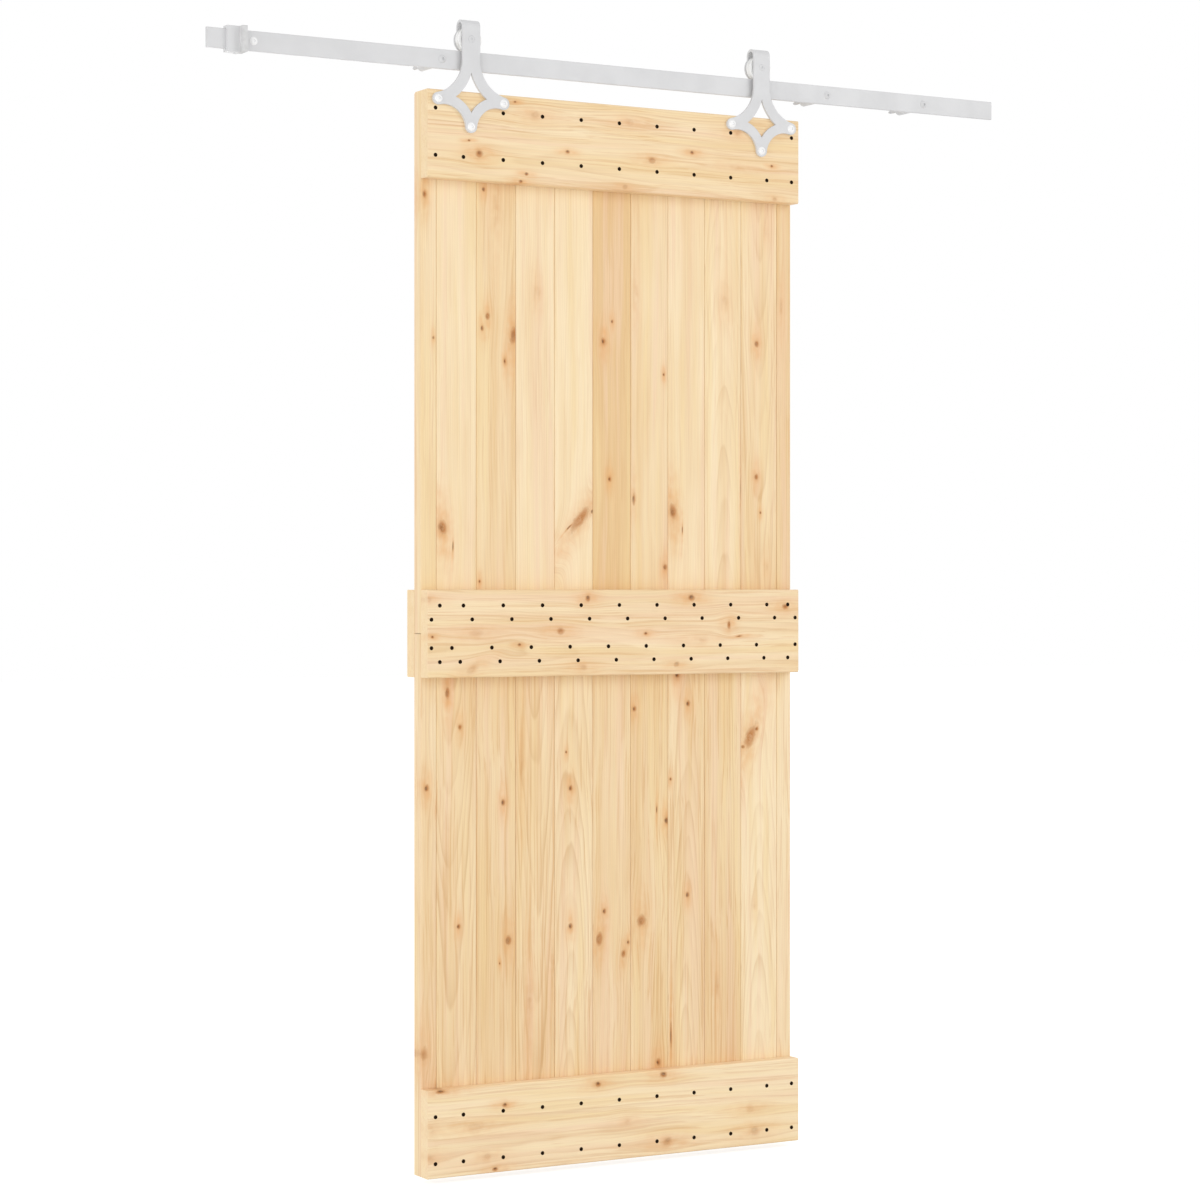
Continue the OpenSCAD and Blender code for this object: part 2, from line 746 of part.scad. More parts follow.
for (i = [0 : LAST]) {
    upper_board(i);
    lower_board(i);
}
top_batten();
middle_batten_front();
middle_batten_back();
bottom_batten();
top_batten_screws();
middle_batten_screws();
bottom_batten_screws();
for (k = [0 : len(SIDES) - 1]) {
    hanger_strap(SIDES[k]);
    hanger_bolts(SIDES[k]);
    hanger_washers(SIDES[k]);
    hanger_nuts(SIDES[k]);
    wheel(SIDES[k]);
    wheel_bearing(SIDES[k]);
    axle_bolt(SIDES[k]);
    axle_collars(SIDES[k]);
    axle_nut(SIDES[k]);
}
rail();
for (i = [0 : len(lag_places) - 1])
    wall_spacer(i);
wall_bolts();
stop_sleeve();
stop_bumper();
stop_set_screws();
stop_bumper_screws();
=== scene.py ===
"""Sliding barn door: finishes, screw heads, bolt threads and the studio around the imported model."""

import logging
import math
import random
from dataclasses import dataclass, replace
from enum import Enum
from functools import cached_property
from typing import Callable, Iterable, Sequence, Union

import bpy
from mathutils import Matrix, Vector


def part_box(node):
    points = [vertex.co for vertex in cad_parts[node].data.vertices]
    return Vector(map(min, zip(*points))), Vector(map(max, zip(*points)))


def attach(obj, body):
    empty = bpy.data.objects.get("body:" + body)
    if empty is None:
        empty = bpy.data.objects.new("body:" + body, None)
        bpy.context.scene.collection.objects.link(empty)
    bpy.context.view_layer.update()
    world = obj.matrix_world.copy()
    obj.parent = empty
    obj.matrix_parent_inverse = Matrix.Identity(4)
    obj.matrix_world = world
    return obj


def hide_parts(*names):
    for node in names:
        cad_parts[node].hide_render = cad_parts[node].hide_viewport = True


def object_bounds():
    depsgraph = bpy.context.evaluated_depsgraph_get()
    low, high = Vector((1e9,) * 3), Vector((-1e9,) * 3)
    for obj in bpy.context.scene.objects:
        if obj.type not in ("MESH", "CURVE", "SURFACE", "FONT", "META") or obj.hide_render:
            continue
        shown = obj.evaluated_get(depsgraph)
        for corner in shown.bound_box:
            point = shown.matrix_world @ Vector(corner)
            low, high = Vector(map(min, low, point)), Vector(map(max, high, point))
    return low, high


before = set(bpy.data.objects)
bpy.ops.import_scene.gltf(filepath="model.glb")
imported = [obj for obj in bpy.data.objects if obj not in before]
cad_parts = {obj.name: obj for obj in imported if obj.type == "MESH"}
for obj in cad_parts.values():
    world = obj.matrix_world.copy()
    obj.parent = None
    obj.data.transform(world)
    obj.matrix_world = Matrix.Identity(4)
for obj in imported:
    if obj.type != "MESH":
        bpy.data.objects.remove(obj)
CAD_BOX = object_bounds()

LOG = logging.getLogger("barn_door")
MM = 0.001
WELD = 1e-6  # metres within which two points are one
LEAST_SQUARE = 1e-10  # square metres; least square of a dome's radius
SMOOTH_ANGLE = math.radians(35)  # steepest edge that is shaded smooth
HEAD_REACH = 3  # head radii within which points belong to one fastener

Triple = tuple[float, float, float]
Colour = tuple[float, float, float, float]
Range = tuple[float, float]
Socket = bpy.types.NodeSocket
Sockets = dict[str, Socket]
Feed = Union[float, Sequence[float], Socket]


def srgb(red: int, green: int, blue: int) -> Colour:
    """Turns a colour of 0 to 255 steps, as a picture shows it, into the linear colour that a shader takes.

    Args:
        red: Red step.
        green: Green step.
        blue: Blue step.

    Returns:
        The linear colour with an alpha of 1.
    """
    def linear(step: int) -> float:
        """Undoes the display curve of one step."""
        share = step / 255
        return share / 12.92 if share <= 0.04045 else ((share + 0.055) / 1.055) ** 2.4

    return linear(red), linear(green), linear(blue), 1.0


class Grain(Enum):
    """Way in which the fibres of a piece of wood run on the door."""

    UPRIGHT = "upright"
    LEVEL = "level"


class Cut(Enum):
    """How a board was sawn from the log."""

    FLAT = "arches in the middle of the face"
    RIFT = "straight lines all over the face"


class Side(Enum):
    """Side of the leaf, seen from the room."""

    LEFT = "left"
    RIGHT = "right"


class Solid(Enum):
    """How one solid is combined with another one."""

    CUT = "DIFFERENCE"
    JOIN = "UNION"


@dataclass(frozen=True)
class PinePalette:
    """Colours of planed pine.

    Attributes:
        sapwood: Pale wood from the outside of the log.
        heartwood: Tan wood from its inside.
        blush: Pink streaks.
        gold: Yellow streaks.
        streak: Fine dark streaks.
        latewood: Dark half of a growth ring.
        halo: Wood round a knot.
        knot: Body of a knot.
        knot_heart: Dark heart of a knot.
        end_grain_painted_light: Sawn end of a board, painted lighter than its face as a painted highlight for
            the light on the ends.
    """

    sapwood: Colour = srgb(251, 230, 192)
    heartwood: Colour = srgb(233, 197, 145)
    blush: Colour = srgb(244, 211, 178)
    gold: Colour = srgb(244, 217, 164)
    streak: Colour = srgb(222, 176, 122)
    latewood: Colour = srgb(204, 154, 98)
    halo: Colour = srgb(230, 168, 104)
    knot: Colour = srgb(188, 120, 58)
    knot_heart: Colour = srgb(108, 64, 24)
    end_grain_painted_light: Colour = srgb(248, 222, 180)


@dataclass(frozen=True)
class PineCells:
    """Cells per metre of what varies in pine, across the face, into it and along the fibres.

    Attributes:
        slow_wave: Slow bends of the growth rings.
        quick_wave: Small bends of the growth rings.
        bunches: Bunches of wide and narrow rings, from the middle of the log outwards.
        fade: Patches in which the rings fade.
        fibre: Single fibres.
        sway: Bends of the streaks.
        streak: Fine streaks.
        tone: Broad streaks.
        blush: Pink and yellow streaks.
        cloud: Soft clouds.
        knot_broad: Broad dents in the outline of a knot.
        knot_fine: Fine dents in the outline of a knot.
    """

    slow_wave: Triple = (7.0, 7.0, 1.5)
    quick_wave: Triple = (28.0, 28.0, 5.0)
    bunches: Triple = (48.0, 1.0, 1.0)
    fade: Triple = (38.0, 38.0, 2.2)
    fibre: Triple = (900.0, 900.0, 11.0)
    sway: Triple = (5.0, 5.0, 3.0)
    streak: Triple = (210.0, 210.0, 2.4)
    tone: Triple = (56.0, 56.0, 1.7)
    blush: Triple = (42.0, 42.0, 1.6)
    cloud: Triple = (9.0, 9.0, 2.6)
    knot_broad: Triple = (75.0, 75.0, 50.0)
    knot_fine: Triple = (420.0, 420.0, 240.0)


PINE = PinePalette()
CELLS = PineCells()


class Graph:
    """Adds nodes to one shader tree and joins them."""

    def __init__(self, tree: bpy.types.NodeTree) -> None:
        """Keeps the tree that the nodes go into."""
        self.tree = tree

    def add(self, kind: str, **settings: object) -> bpy.types.Node:
        """Adds one node.

        Args:
            kind: Blender's name of the node type.
            settings: Properties to set on the node.

        Returns:
            The new node.
        """
        node = self.tree.nodes.new(kind)
        for name, value in settings.items():
            setattr(node, name, value)
        return node

    def feed(self, socket: Socket, value: Feed) -> None:
        """Links a socket to another one, or sets its own value.

        Args:
            socket: Socket to feed.
            value: Socket to link it to, or its own value.
        """
        if isinstance(value, bpy.types.NodeSocket):
            self.tree.links.new(value, socket)
        else:
            socket.default_value = value

    def fill(self, node: bpy.types.Node, *values: Feed) -> bpy.types.Node:
        """Feeds the inputs of a node in their order.

        Args:
            node: Node to feed.
            values: What its first inputs take.

        Returns:
            The same node.
        """
        for socket, value in zip(node.inputs, values):
            self.feed(socket, value)
        return node

    def math(self, operation: str, *values: Feed) -> Socket:
        """Adds a math node and returns its result."""
        return self.fill(self.add("ShaderNodeMath", operation=operation), *values).outputs[0]

    def times(self, first: Feed, second: Feed) -> Socket:
        """Multiplies two values."""
        return self.math("MULTIPLY", first, second)

    def scaled(self, value: Feed, share: Feed, offset: Feed) -> Socket:
        """Multiplies a value by a share and adds an offset."""
        return self.math("MULTIPLY_ADD", value, share, offset)

    def vector(self, operation: str, *values: Feed) -> Socket:
        """Adds a vector math node and returns its result."""
        node = self.fill(self.add("ShaderNodeVectorMath", operation=operation), *values)
        return node.outputs["Value" if operation in ("LENGTH", "DOT_PRODUCT") else "Vector"]

    def split(self, vector: Feed) -> tuple[Socket, Socket, Socket]:
        """Splits a vector into its three numbers."""
        node = self.fill(self.add("ShaderNodeSeparateXYZ"), vector)
        return node.outputs[0], node.outputs[1], node.outputs[2]

    def join(self, x: Feed, y: Feed, z: Feed) -> Socket:
        """Joins three numbers into a vector."""
        return self.fill(self.add("ShaderNodeCombineXYZ"), x, y, z).outputs[0]

    def blend(self, factor: Feed, low: Feed, high: Feed, mode: str = "MIX") -> Socket:
        """Blends two colours.

        Args:
            factor: 0 for the first colour, 1 for the second.
            low: First colour.
            high: Second colour.
            mode: Blender's name of the blend.

        Returns:
            The blended colour.
        """
        node = self.add("ShaderNodeMix", data_type="RGBA", blend_type=mode)
        for index, value in ((0, factor), (6, low), (7, high)):
            self.feed(node.inputs[index], value)
        return node.outputs[2]

    def noise(self, vector: Feed, stretch: Triple, detail: float = 2.0, rough: float = 0.5) -> Socket:
        """Adds noise with its own number of cells per metre along each axis.

        Args:
            vector: Place on the surface.
            stretch: Cells per metre along X, Y and Z.
            detail: Number of finer layers.
            rough: Share of each finer layer.

        Returns:
            A value near 0.5 that moves between 0 and 1.
        """
        node = self.add("ShaderNodeTexNoise")
        self.feed(node.inputs["Vector"], self.vector("MULTIPLY", vector, stretch))
        node.inputs["Scale"].default_value = 1.0
        node.inputs["Detail"].default_value = detail
        node.inputs["Roughness"].default_value = rough
        return node.outputs[0]

    def even_noise(self, vector: Feed, cells: float, detail: float = 2.0, rough: float = 0.5) -> Socket:
        """Adds noise with the same number of cells per metre along all axes."""
        return self.noise(vector, (cells, cells, cells), detail, rough)

    def wave(self, vector: Feed, stretch: Triple, detail: float = 2.0) -> Socket:
        """Adds noise that moves about 0."""
        return self.math("SUBTRACT", self.noise(vector, stretch, detail), 0.5)

    def ramp(self, value: Feed, low: float, high: float, start: float = 0.0, end: float = 1.0) -> Socket:
        """Carries a value smoothly from one range into another.

        Args:
            value: Number to carry.
            low: Where the ramp starts.
            high: Where the ramp ends.
            start: Result at the start.
            end: Result at the end.

        Returns:
            The result, held at its ends.
        """
        node = self.add("ShaderNodeMapRange", interpolation_type="SMOOTHSTEP")
        return self.fill(node, value, low, high, start, end).outputs[0]

    def bell(self, value: Feed, steepness: float) -> Socket:
        """Makes 1 at a value of 0 and falls off to both sides."""
        return self.math("EXPONENT", self.times(self.math("POWER", value, 2.0), -steepness))

    def use(self, group: bpy.types.NodeTree, **feeds: Feed) -> bpy.types.Node:
        """Places a node group and feeds its inputs.

        Args:
            group: Group to place.
            feeds: What its inputs take, by their names with _ for a space.

        Returns:
            The node of the group.
        """
        node = self.add("ShaderNodeGroup", node_tree=group)
        for name, value in feeds.items():
            self.feed(node.inputs[name.replace("_", " ")], value)
        return node


class GroupMaker:
    """Makes the shader groups that several finishes share, each one once."""

    KINDS = {"V": "NodeSocketVector", "F": "NodeSocketFloat", "C": "NodeSocketColor"}
    DUST = 14.0  # cells of dust on a coat per metre
    WEAR = 300.0  # cells of worn edges per metre

    def _start(self, name: str, inputs: str, outputs: str) -> tuple[Graph, Sockets, Sockets]:
        """Starts a group with its named sockets.

        Args:
            name: Name of the group.
            inputs: Comma list of inputs, each its kind letter and its name.
            outputs: Comma list of outputs, in the same form.

        Returns:
            The graph, the sockets that bring values in and those that take them out.
        """
        tree = bpy.data.node_groups.new(name, "ShaderNodeTree")
        for side, words in (("INPUT", inputs), ("OUTPUT", outputs)):
            for word in words.split(","):
                kind, label = word.strip().split(" ", 1)
                tree.interface.new_socket(name=label, in_out=side, socket_type=self.KINDS[kind])
        graph = Graph(tree)
        into = {s.name: s for s in graph.add("NodeGroupInput").outputs if s.name}
        out = {s.name: s for s in graph.add("NodeGroupOutput").inputs if s.name}
        return graph, into, out

    @cached_property
    def knot(self) -> bpy.types.NodeTree:
        """Group that bends the fibres round one knot and marks its core, heart and halo."""
        graph, into, out = self._start(
            "Knot",
            "V Vector,F Core,F Heart,F Halo,F Broad,F Fine,"
            "V Centre,F Radius,F Stretch,F Slant,F Strength,F Dark",
            "V Vector,F Core,F Heart,F Halo")
        broad, radius, strength = into["Broad"], into["Radius"], into["Strength"]
        x, y, z = graph.split(into["Vector"])
        side, _, along = graph.split(graph.vector("SUBTRACT", into["Vector"], into["Centre"]))
        lean = graph.math("SUBTRACT", side, graph.times(along, into["Slant"]))
        tall = graph.math("DIVIDE", along, into["Stretch"])
        # Ragged outline
        ragged = graph.scaled(into["Fine"], 0.5, graph.times(broad, 1.1))
        rough = graph.math("ADD", self._reach(graph, lean, tall, radius), ragged)
        # Core: a sharp disc where the knot is strong, a smudge where it is weak
        sharp = graph.ramp(strength, 0.35, 0.8)
        mottle = graph.ramp(graph.math("ADD", into["Fine"], broad), -0.25, 0.2, 0.72, 1.0)
        disc = graph.times(graph.ramp(rough, 1.05, 0.3), graph.times(sharp, mottle))
        smudge = graph.times(graph.bell(rough, 1.3), graph.ramp(broad, -0.2, 0.2, 0.1, 0.65))
        core = graph.math("MAXIMUM", disc, graph.times(smudge, strength))
        # Heart: dark a little off the middle, and along part of the rim
        off = graph.scaled(radius, 0.22, lean)
        inner = graph.math("ADD", self._reach(graph, off, tall, radius), graph.times(ragged, 0.6))
        rim = graph.ramp(graph.math("ABSOLUTE", graph.math("SUBTRACT", rough, 0.8)), 0.2, 0.0)
        rim = graph.times(rim, graph.ramp(broad, 0.0, 0.15, 0.0, 0.75))
        heart = graph.math("MAXIMUM", graph.times(graph.ramp(inner, 0.62, 0.12), into["Dark"]), rim)
        heart = graph.times(heart, graph.times(sharp, graph.ramp(rough, 1.1, 0.6)))
        # Halo: warm wood that reaches further along the fibres than across them
        wide = self._reach(graph, lean, graph.times(tall, 0.45), radius)
        glow = graph.scaled(broad, 1.4, 0.8)
        halo = graph.times(graph.bell(wide, 0.27), graph.times(glow, strength))
        # Fibres pushed to both sides
        flow = self._reach(graph, lean, graph.times(tall, 0.4), radius)
        pull = graph.times(graph.bell(flow, 0.26), graph.math("SQRT", strength))
        bent = graph.math("SUBTRACT", x, graph.times(side, graph.times(pull, 0.85)))
        graph.feed(out["Vector"], graph.join(bent, y, z))
        for name, value in (("Core", core), ("Heart", heart), ("Halo", halo)):
            graph.feed(out[name], graph.math("MAXIMUM", value, into[name]))
        return graph.tree

    @staticmethod
    def _reach(graph: Graph, side: Socket, along: Socket, radius: Socket) -> Socket:
        """Measures how far a point lies from the middle of a knot, as a share of the knot's radius."""
        flat = graph.math("ADD", graph.math("POWER", side, 2.0), graph.math("POWER", along, 2.0))
        return graph.math("DIVIDE", graph.math("SQRT", flat), radius)

    @cached_property
    def pine(self) -> bpy.types.NodeTree:
        """Group of the growth rings and fibres of pine, whose grain runs along Z."""
        graph, into, out = self._start(
            "Pine", "V Vector,V Pith,V Drift,F Ring Width,F Seed",
            "F Late,F Fibre,F Streak,F Tone,F Blush,F Cloud")
        seed = into["Seed"]
        step = graph.join(seed, graph.times(seed, 1.7), graph.times(seed, 0.6))
        place = graph.vector("ADD", into["Vector"], step)
        # Distance from the leaning middle of the log, with bends of some millimetres
        _, _, along = graph.split(into["Vector"])
        lean = graph.vector("MULTIPLY", into["Drift"], graph.join(along, along, 0.0))
        offset = graph.vector("SUBTRACT", into["Vector"], graph.vector("ADD", into["Pith"], lean))
        radius = graph.vector("LENGTH", graph.vector("MULTIPLY", offset, (1.0, 1.0, 0.0)))
        radius = graph.scaled(graph.wave(place, CELLS.slow_wave, 1.0), 0.02, radius)
        radius = graph.scaled(graph.wave(place, CELLS.quick_wave), 0.005, radius)
        # Rings that darken outwards and end sharply, each with a weight of its own
        bunch = graph.wave(graph.join(radius, seed, 0.0), CELLS.bunches, 1.0)
        rings = graph.scaled(bunch, 2.4, graph.math("DIVIDE", radius, into["Ring Width"]))
        part = graph.math("FRACT", rings)
        dark = graph.times(graph.math("POWER", part, 2.2), graph.ramp(part, 1.0, 0.84))
        chance = graph.add("ShaderNodeTexWhiteNoise", noise_dimensions="1D")
        graph.feed(chance.inputs["W"], graph.math("FLOOR", rings))
        weight = graph.scaled(chance.outputs["Value"], 1.0, 0.2)
        fade = graph.ramp(graph.noise(place, CELLS.fade), 0.32, 0.66, 0.3, 1.15)
        graph.feed(out["Late"], graph.times(dark, graph.times(weight, fade)))
        graph.feed(out["Fibre"], graph.noise(place, CELLS.fibre, 3.0, 0.6))
        # Streaks that sway along the board
        sway = graph.times(graph.wave(place, CELLS.sway), 0.022)
        place = graph.vector("ADD", place, graph.join(sway, sway, 0.0))
        graph.feed(out["Streak"], graph.noise(place, CELLS.streak, 3.0, 0.65))
        graph.feed(out["Tone"], graph.noise(place, CELLS.tone, 3.0))
        apart = graph.vector("ADD", place, (7.3, 2.1, 4.9))
        graph.feed(out["Blush"], graph.noise(apart, CELLS.blush, 2.0))
        graph.feed(out["Cloud"], graph.noise(place, CELLS.cloud, 2.0))
        return graph.tree

    @cached_property
    def pine_colour(self) -> bpy.types.NodeTree:
        """Group that colours pine from its rings, fibres and knots."""
        graph, into, out = self._start(
            "Pine colour",
            "F Late,F Fibre,F Streak,F Tone,F Blush,F Cloud,F Core,F Heart,F Halo,F End,F Tan,F Contrast",
            "C Colour,F Roughness,F Height")
        shade = graph.scaled(graph.math("SUBTRACT", into["Tone"], 0.5), 1.1, into["Tan"])
        shade = graph.scaled(graph.math("SUBTRACT", into["Cloud"], 0.5), 0.7, shade)
        shown = graph.ramp(into["Contrast"], 0.05, 0.6)
        colour = graph.blend(graph.ramp(shade, -0.1, 1.1), PINE.sapwood, PINE.heartwood)
        for share, tint in (
                (graph.times(graph.ramp(into["Blush"], 0.5, 0.7), 0.5), PINE.blush),
                (graph.times(graph.ramp(into["Blush"], 0.5, 0.3), 0.5), PINE.gold),
                (graph.times(graph.times(graph.ramp(into["Streak"], 0.5, 0.66), shown), 0.6), PINE.streak),
                (graph.times(into["Late"], into["Contrast"]), PINE.latewood),
                (graph.times(into["Halo"], 0.68), PINE.halo),
                (into["Core"], graph.blend(into["Heart"], PINE.knot, PINE.knot_heart)),
                # Sawn ends painted lighter than the face: a painted highlight for the light on the end faces
                (graph.times(into["End"], 0.55), PINE.end_grain_painted_light)):
            colour = graph.blend(share, colour, tint)
        light = graph.ramp(into["Fibre"], 0.25, 0.75, 0.965, 1.025)
        graph.feed(out["Colour"], graph.blend(1.0, colour, graph.join(light, light, light), "MULTIPLY"))
        dull = graph.scaled(into["Fibre"], 0.16, 0.44)
        dull = graph.scaled(into["Core"], -0.1, dull)
        graph.feed(out["Roughness"], graph.scaled(into["End"], 0.15, dull))
        height = graph.scaled(into["Late"], 0.8, graph.times(into["Fibre"], 0.5))
        graph.feed(out["Height"], graph.scaled(into["Heart"], -0.6, height))
        return graph.tree

    @cached_property
    def coat(self) -> bpy.types.NodeTree:
        """Group of a sprayed coat: its orange peel, its dust and the thin spots on its edges."""
        graph, into, out = self._start(
            "Coat", "V Vector,V Normal,F Edge Width,F Peel Scale", "F Peel,F Dust,F Edge")
        node = graph.add("ShaderNodeTexNoise")
        graph.feed(node.inputs["Vector"], into["Vector"])
        graph.feed(node.inputs["Scale"], into["Peel Scale"])
        node.inputs["Detail"].default_value = 2.0
        graph.feed(out["Peel"], node.outputs[0])
        graph.feed(out["Dust"], graph.even_noise(into["Vector"], self.DUST, 4.0, 0.6))
        bevel = graph.add("ShaderNodeBevel", samples=4)
        graph.feed(bevel.inputs["Radius"], into["Edge Width"])
        facing = graph.vector("DOT_PRODUCT", bevel.outputs[0], into["Normal"])
        patchy = graph.even_noise(into["Vector"], self.WEAR, 3.0, 0.6)
        graph.feed(out["Edge"], graph.times(graph.ramp(facing, 0.985, 0.8), graph.ramp(patchy, 0.35, 0.6)))
        return graph.tree


GROUPS = GroupMaker()


def new_material(name: str) -> tuple[bpy.types.Material, Graph, bpy.types.Node]:
    """Starts a material with its shader.

    Args:
        name: Name of the material.

    Returns:
        The material, the graph of its nodes and its Principled shader.
    """
    material = bpy.data.materials.new(name)
    material.use_nodes = True
    graph = Graph(material.node_tree)
    return material, graph, material.node_tree.nodes["Principled BSDF"]


def bump(graph: Graph, shader: bpy.types.Node, height: Socket, strength: float, distance: float) -> None:
    """Turns a height into the shader's normal.

    Args:
        graph: Graph of the material.
        shader: Shader that takes the normal.
        height: Height between 0 and 1.
        strength: Share of the bump that shows.
        distance: Depth of the bump in metres.
    """
    node = graph.add("ShaderNodeBump")
    node.inputs["Strength"].default_value = strength
    node.inputs["Distance"].default_value = distance
    graph.feed(node.inputs["Height"], height)
    graph.feed(shader.inputs["Normal"], node.outputs[0])


@dataclass(frozen=True)
class Knot:
    """One knot in the face of a board, in millimetres from the middle of that face.

    Attributes:
        across: Place across the fibres.
        along: Place along the fibres.
        radius: Radius of the core.
        strength: 1 for a sharp knot, less for one that only tints the wood.
        stretch: Length of the core over its width.
        slant: Sideways lean of the core along the fibres.
        dark: 1 for a dead knot with a dark heart, less for a live one.
    """

    across: float
    along: float
    radius: float
    strength: float = 1.0
    stretch: float = 1.3
    slant: float = 0.0
    dark: float = 1.0


@dataclass(frozen=True)
class PineLook:
    """How one board was cut from the log and how it shows.

    Attributes:
        tan: 0 for pale sapwood, 1 for tan heartwood.
        contrast: How far the growth rings show.
        knots: Knots in the face.
        cut: How the board was sawn.
    """

    tan: float
    contrast: float
    knots: tuple[Knot, ...] = ()
    cut: Cut = Cut.RIFT


@dataclass(frozen=True)
class PineFinish:
    """Clear satin finish on planed pine, with the log's middle given for each cut.

    Attributes:
        ring_width: Range of the growth rings' width in millimetres.
        flat_across: Furthest place of the log's middle, across a flat-sawn board, in millimetres.
        flat_depth: Range of the log's middle behind a flat-sawn face, in millimetres.
        flat_drift: Range of the log's lean behind a flat-sawn face, in metres per metre.
        rift_across: Range of the log's middle beside a rift-sawn board, in millimetres.
        rift_depth: Range of the log's middle behind a rift-sawn face, in millimetres.
        rift_drift: Most that the log leans beside a rift-sawn board, in metres per metre.
        relief: Depth of the grain in metres.
        bump: Share of that depth that shows.
        gloss: Strength of the reflections.
        shifts: Furthest shift of the pattern from board to board, in metres.
    """

    ring_width: Range = (2.8, 4.8)
    flat_across: float = 14.0
    flat_depth: Range = (34.0, 58.0)
    flat_drift: Range = (0.025, 0.05)
    rift_across: Range = (60.0, 120.0)
    rift_depth: Range = (50.0, 110.0)
    rift_drift: float = 0.008
    relief: float = 0.0004
    bump: float = 0.3
    gloss: float = 0.3
    shifts: float = 40.0

    def material(self, node: str, grain: Grain, look: PineLook, draw: random.Random) -> bpy.types.Material:
        """Makes the finish of one board.

        Args:
            node: Name of the board's node.
            grain: Way in which its fibres run.
            look: How the board shows.
            draw: Source of the values that differ from board to board.

        Returns:
            The material.
        """
        material, graph, shader = new_material(f"pine_{node}")
        low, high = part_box(node)
        middle = (low + high) / 2
        turn = 0.0 if grain is Grain.UPRIGHT else -math.pi / 2
        spin = Matrix.Rotation(turn, 3, "Y")
        place = graph.add("ShaderNodeMapping")
        coords = graph.add("ShaderNodeTexCoord")
        graph.feed(place.inputs["Vector"], coords.outputs["Object"])
        place.inputs["Rotation"].default_value = (0.0, turn, 0.0)
        place.inputs["Location"].default_value = -(spin @ middle)
        vector, core, heart, halo = self._knots(graph, place.outputs[0], grain, look.knots)
        pith, drift = self._log(look.cut, draw)
        rings = graph.use(GROUPS.pine, Vector=vector, Pith=pith, Drift=drift,
                          Ring_Width=draw.uniform(*self.ring_width) * MM, Seed=draw.uniform(0.0, self.shifts))
        # Mask of the sawn end faces: rougher wood, and painted lighter as a painted highlight in the colour
        # group
        facing = graph.vector("DOT_PRODUCT", coords.outputs["Normal"], spin.transposed() @ Vector((0, 0, 1)))
        end = graph.ramp(graph.math("ABSOLUTE", facing), 0.6, 0.9)
        grown = {name: rings.outputs[name] for name in ("Late", "Fibre", "Streak", "Tone", "Blush", "Cloud")}
        colour = graph.use(GROUPS.pine_colour, Core=core, Heart=heart, Halo=halo, End=end, Tan=look.tan,
                           Contrast=look.contrast, **grown)
        graph.feed(shader.inputs["Base Color"], colour.outputs["Colour"])
        graph.feed(shader.inputs["Roughness"], colour.outputs["Roughness"])
        shader.inputs["Specular IOR Level"].default_value = self.gloss
        bump(graph, shader, colour.outputs["Height"], self.bump, self.relief)
        return material

    def _log(self, cut: Cut, draw: random.Random) -> tuple[Triple, Triple]:
        """Draws where the middle of the log lies.

        Args:
            cut: How the board was sawn.
            draw: Source of the values.

        Returns:
            The middle of the log seen from the middle of the board, and its lean, both in metres.
        """
        way = draw.choice((-1, 1))
        if cut is Cut.FLAT:
            across = draw.uniform(-self.flat_across, self.flat_across)
            depth = draw.uniform(*self.flat_depth)
            return (across * MM, depth * MM, 0.0), (0.0, way * draw.uniform(*self.flat_drift), 0.0)
        across = way * draw.uniform(*self.rift_across)
        lean = draw.uniform(-self.rift_drift, self.rift_drift)
        return (across * MM, draw.uniform(*self.rift_depth) * MM, 0.0), (lean, 0.0, 0.0)

    @staticmethod
    def _knots(graph: Graph, vector: Socket, grain: Grain,
               knots: Iterable[Knot]) -> tuple[Feed, Feed, Feed, Feed]:
        """Chains the knots of one board.

        Args:
            graph: Graph of the material.
            vector: Place on the board, fibres along Z.
            grain: Way in which the fibres run on the door.
            knots: Knots to place.

        Returns:
            The place bent round the knots, and the marks of their cores, hearts and halos.
        """
        core, heart, halo = 0.0, 0.0, 0.0
        side = 1 if grain is Grain.UPRIGHT else -1
        broad = graph.wave(vector, CELLS.knot_broad, 1.0)
        fine = graph.wave(vector, CELLS.knot_fine)
        for knot in knots:
            node = graph.use(
                GROUPS.knot, Vector=vector, Core=core, Heart=heart, Halo=halo, Broad=broad, Fine=fine,
                Centre=(side * knot.across * MM, 0.0, knot.along * MM), Radius=knot.radius * MM,
                Stretch=knot.stretch, Slant=side * knot.slant, Strength=knot.strength, Dark=knot.dark)
            vector, core, heart, halo = (node.outputs[n] for n in ("Vector", "Core", "Heart", "Halo"))
        return vector, core, heart, halo


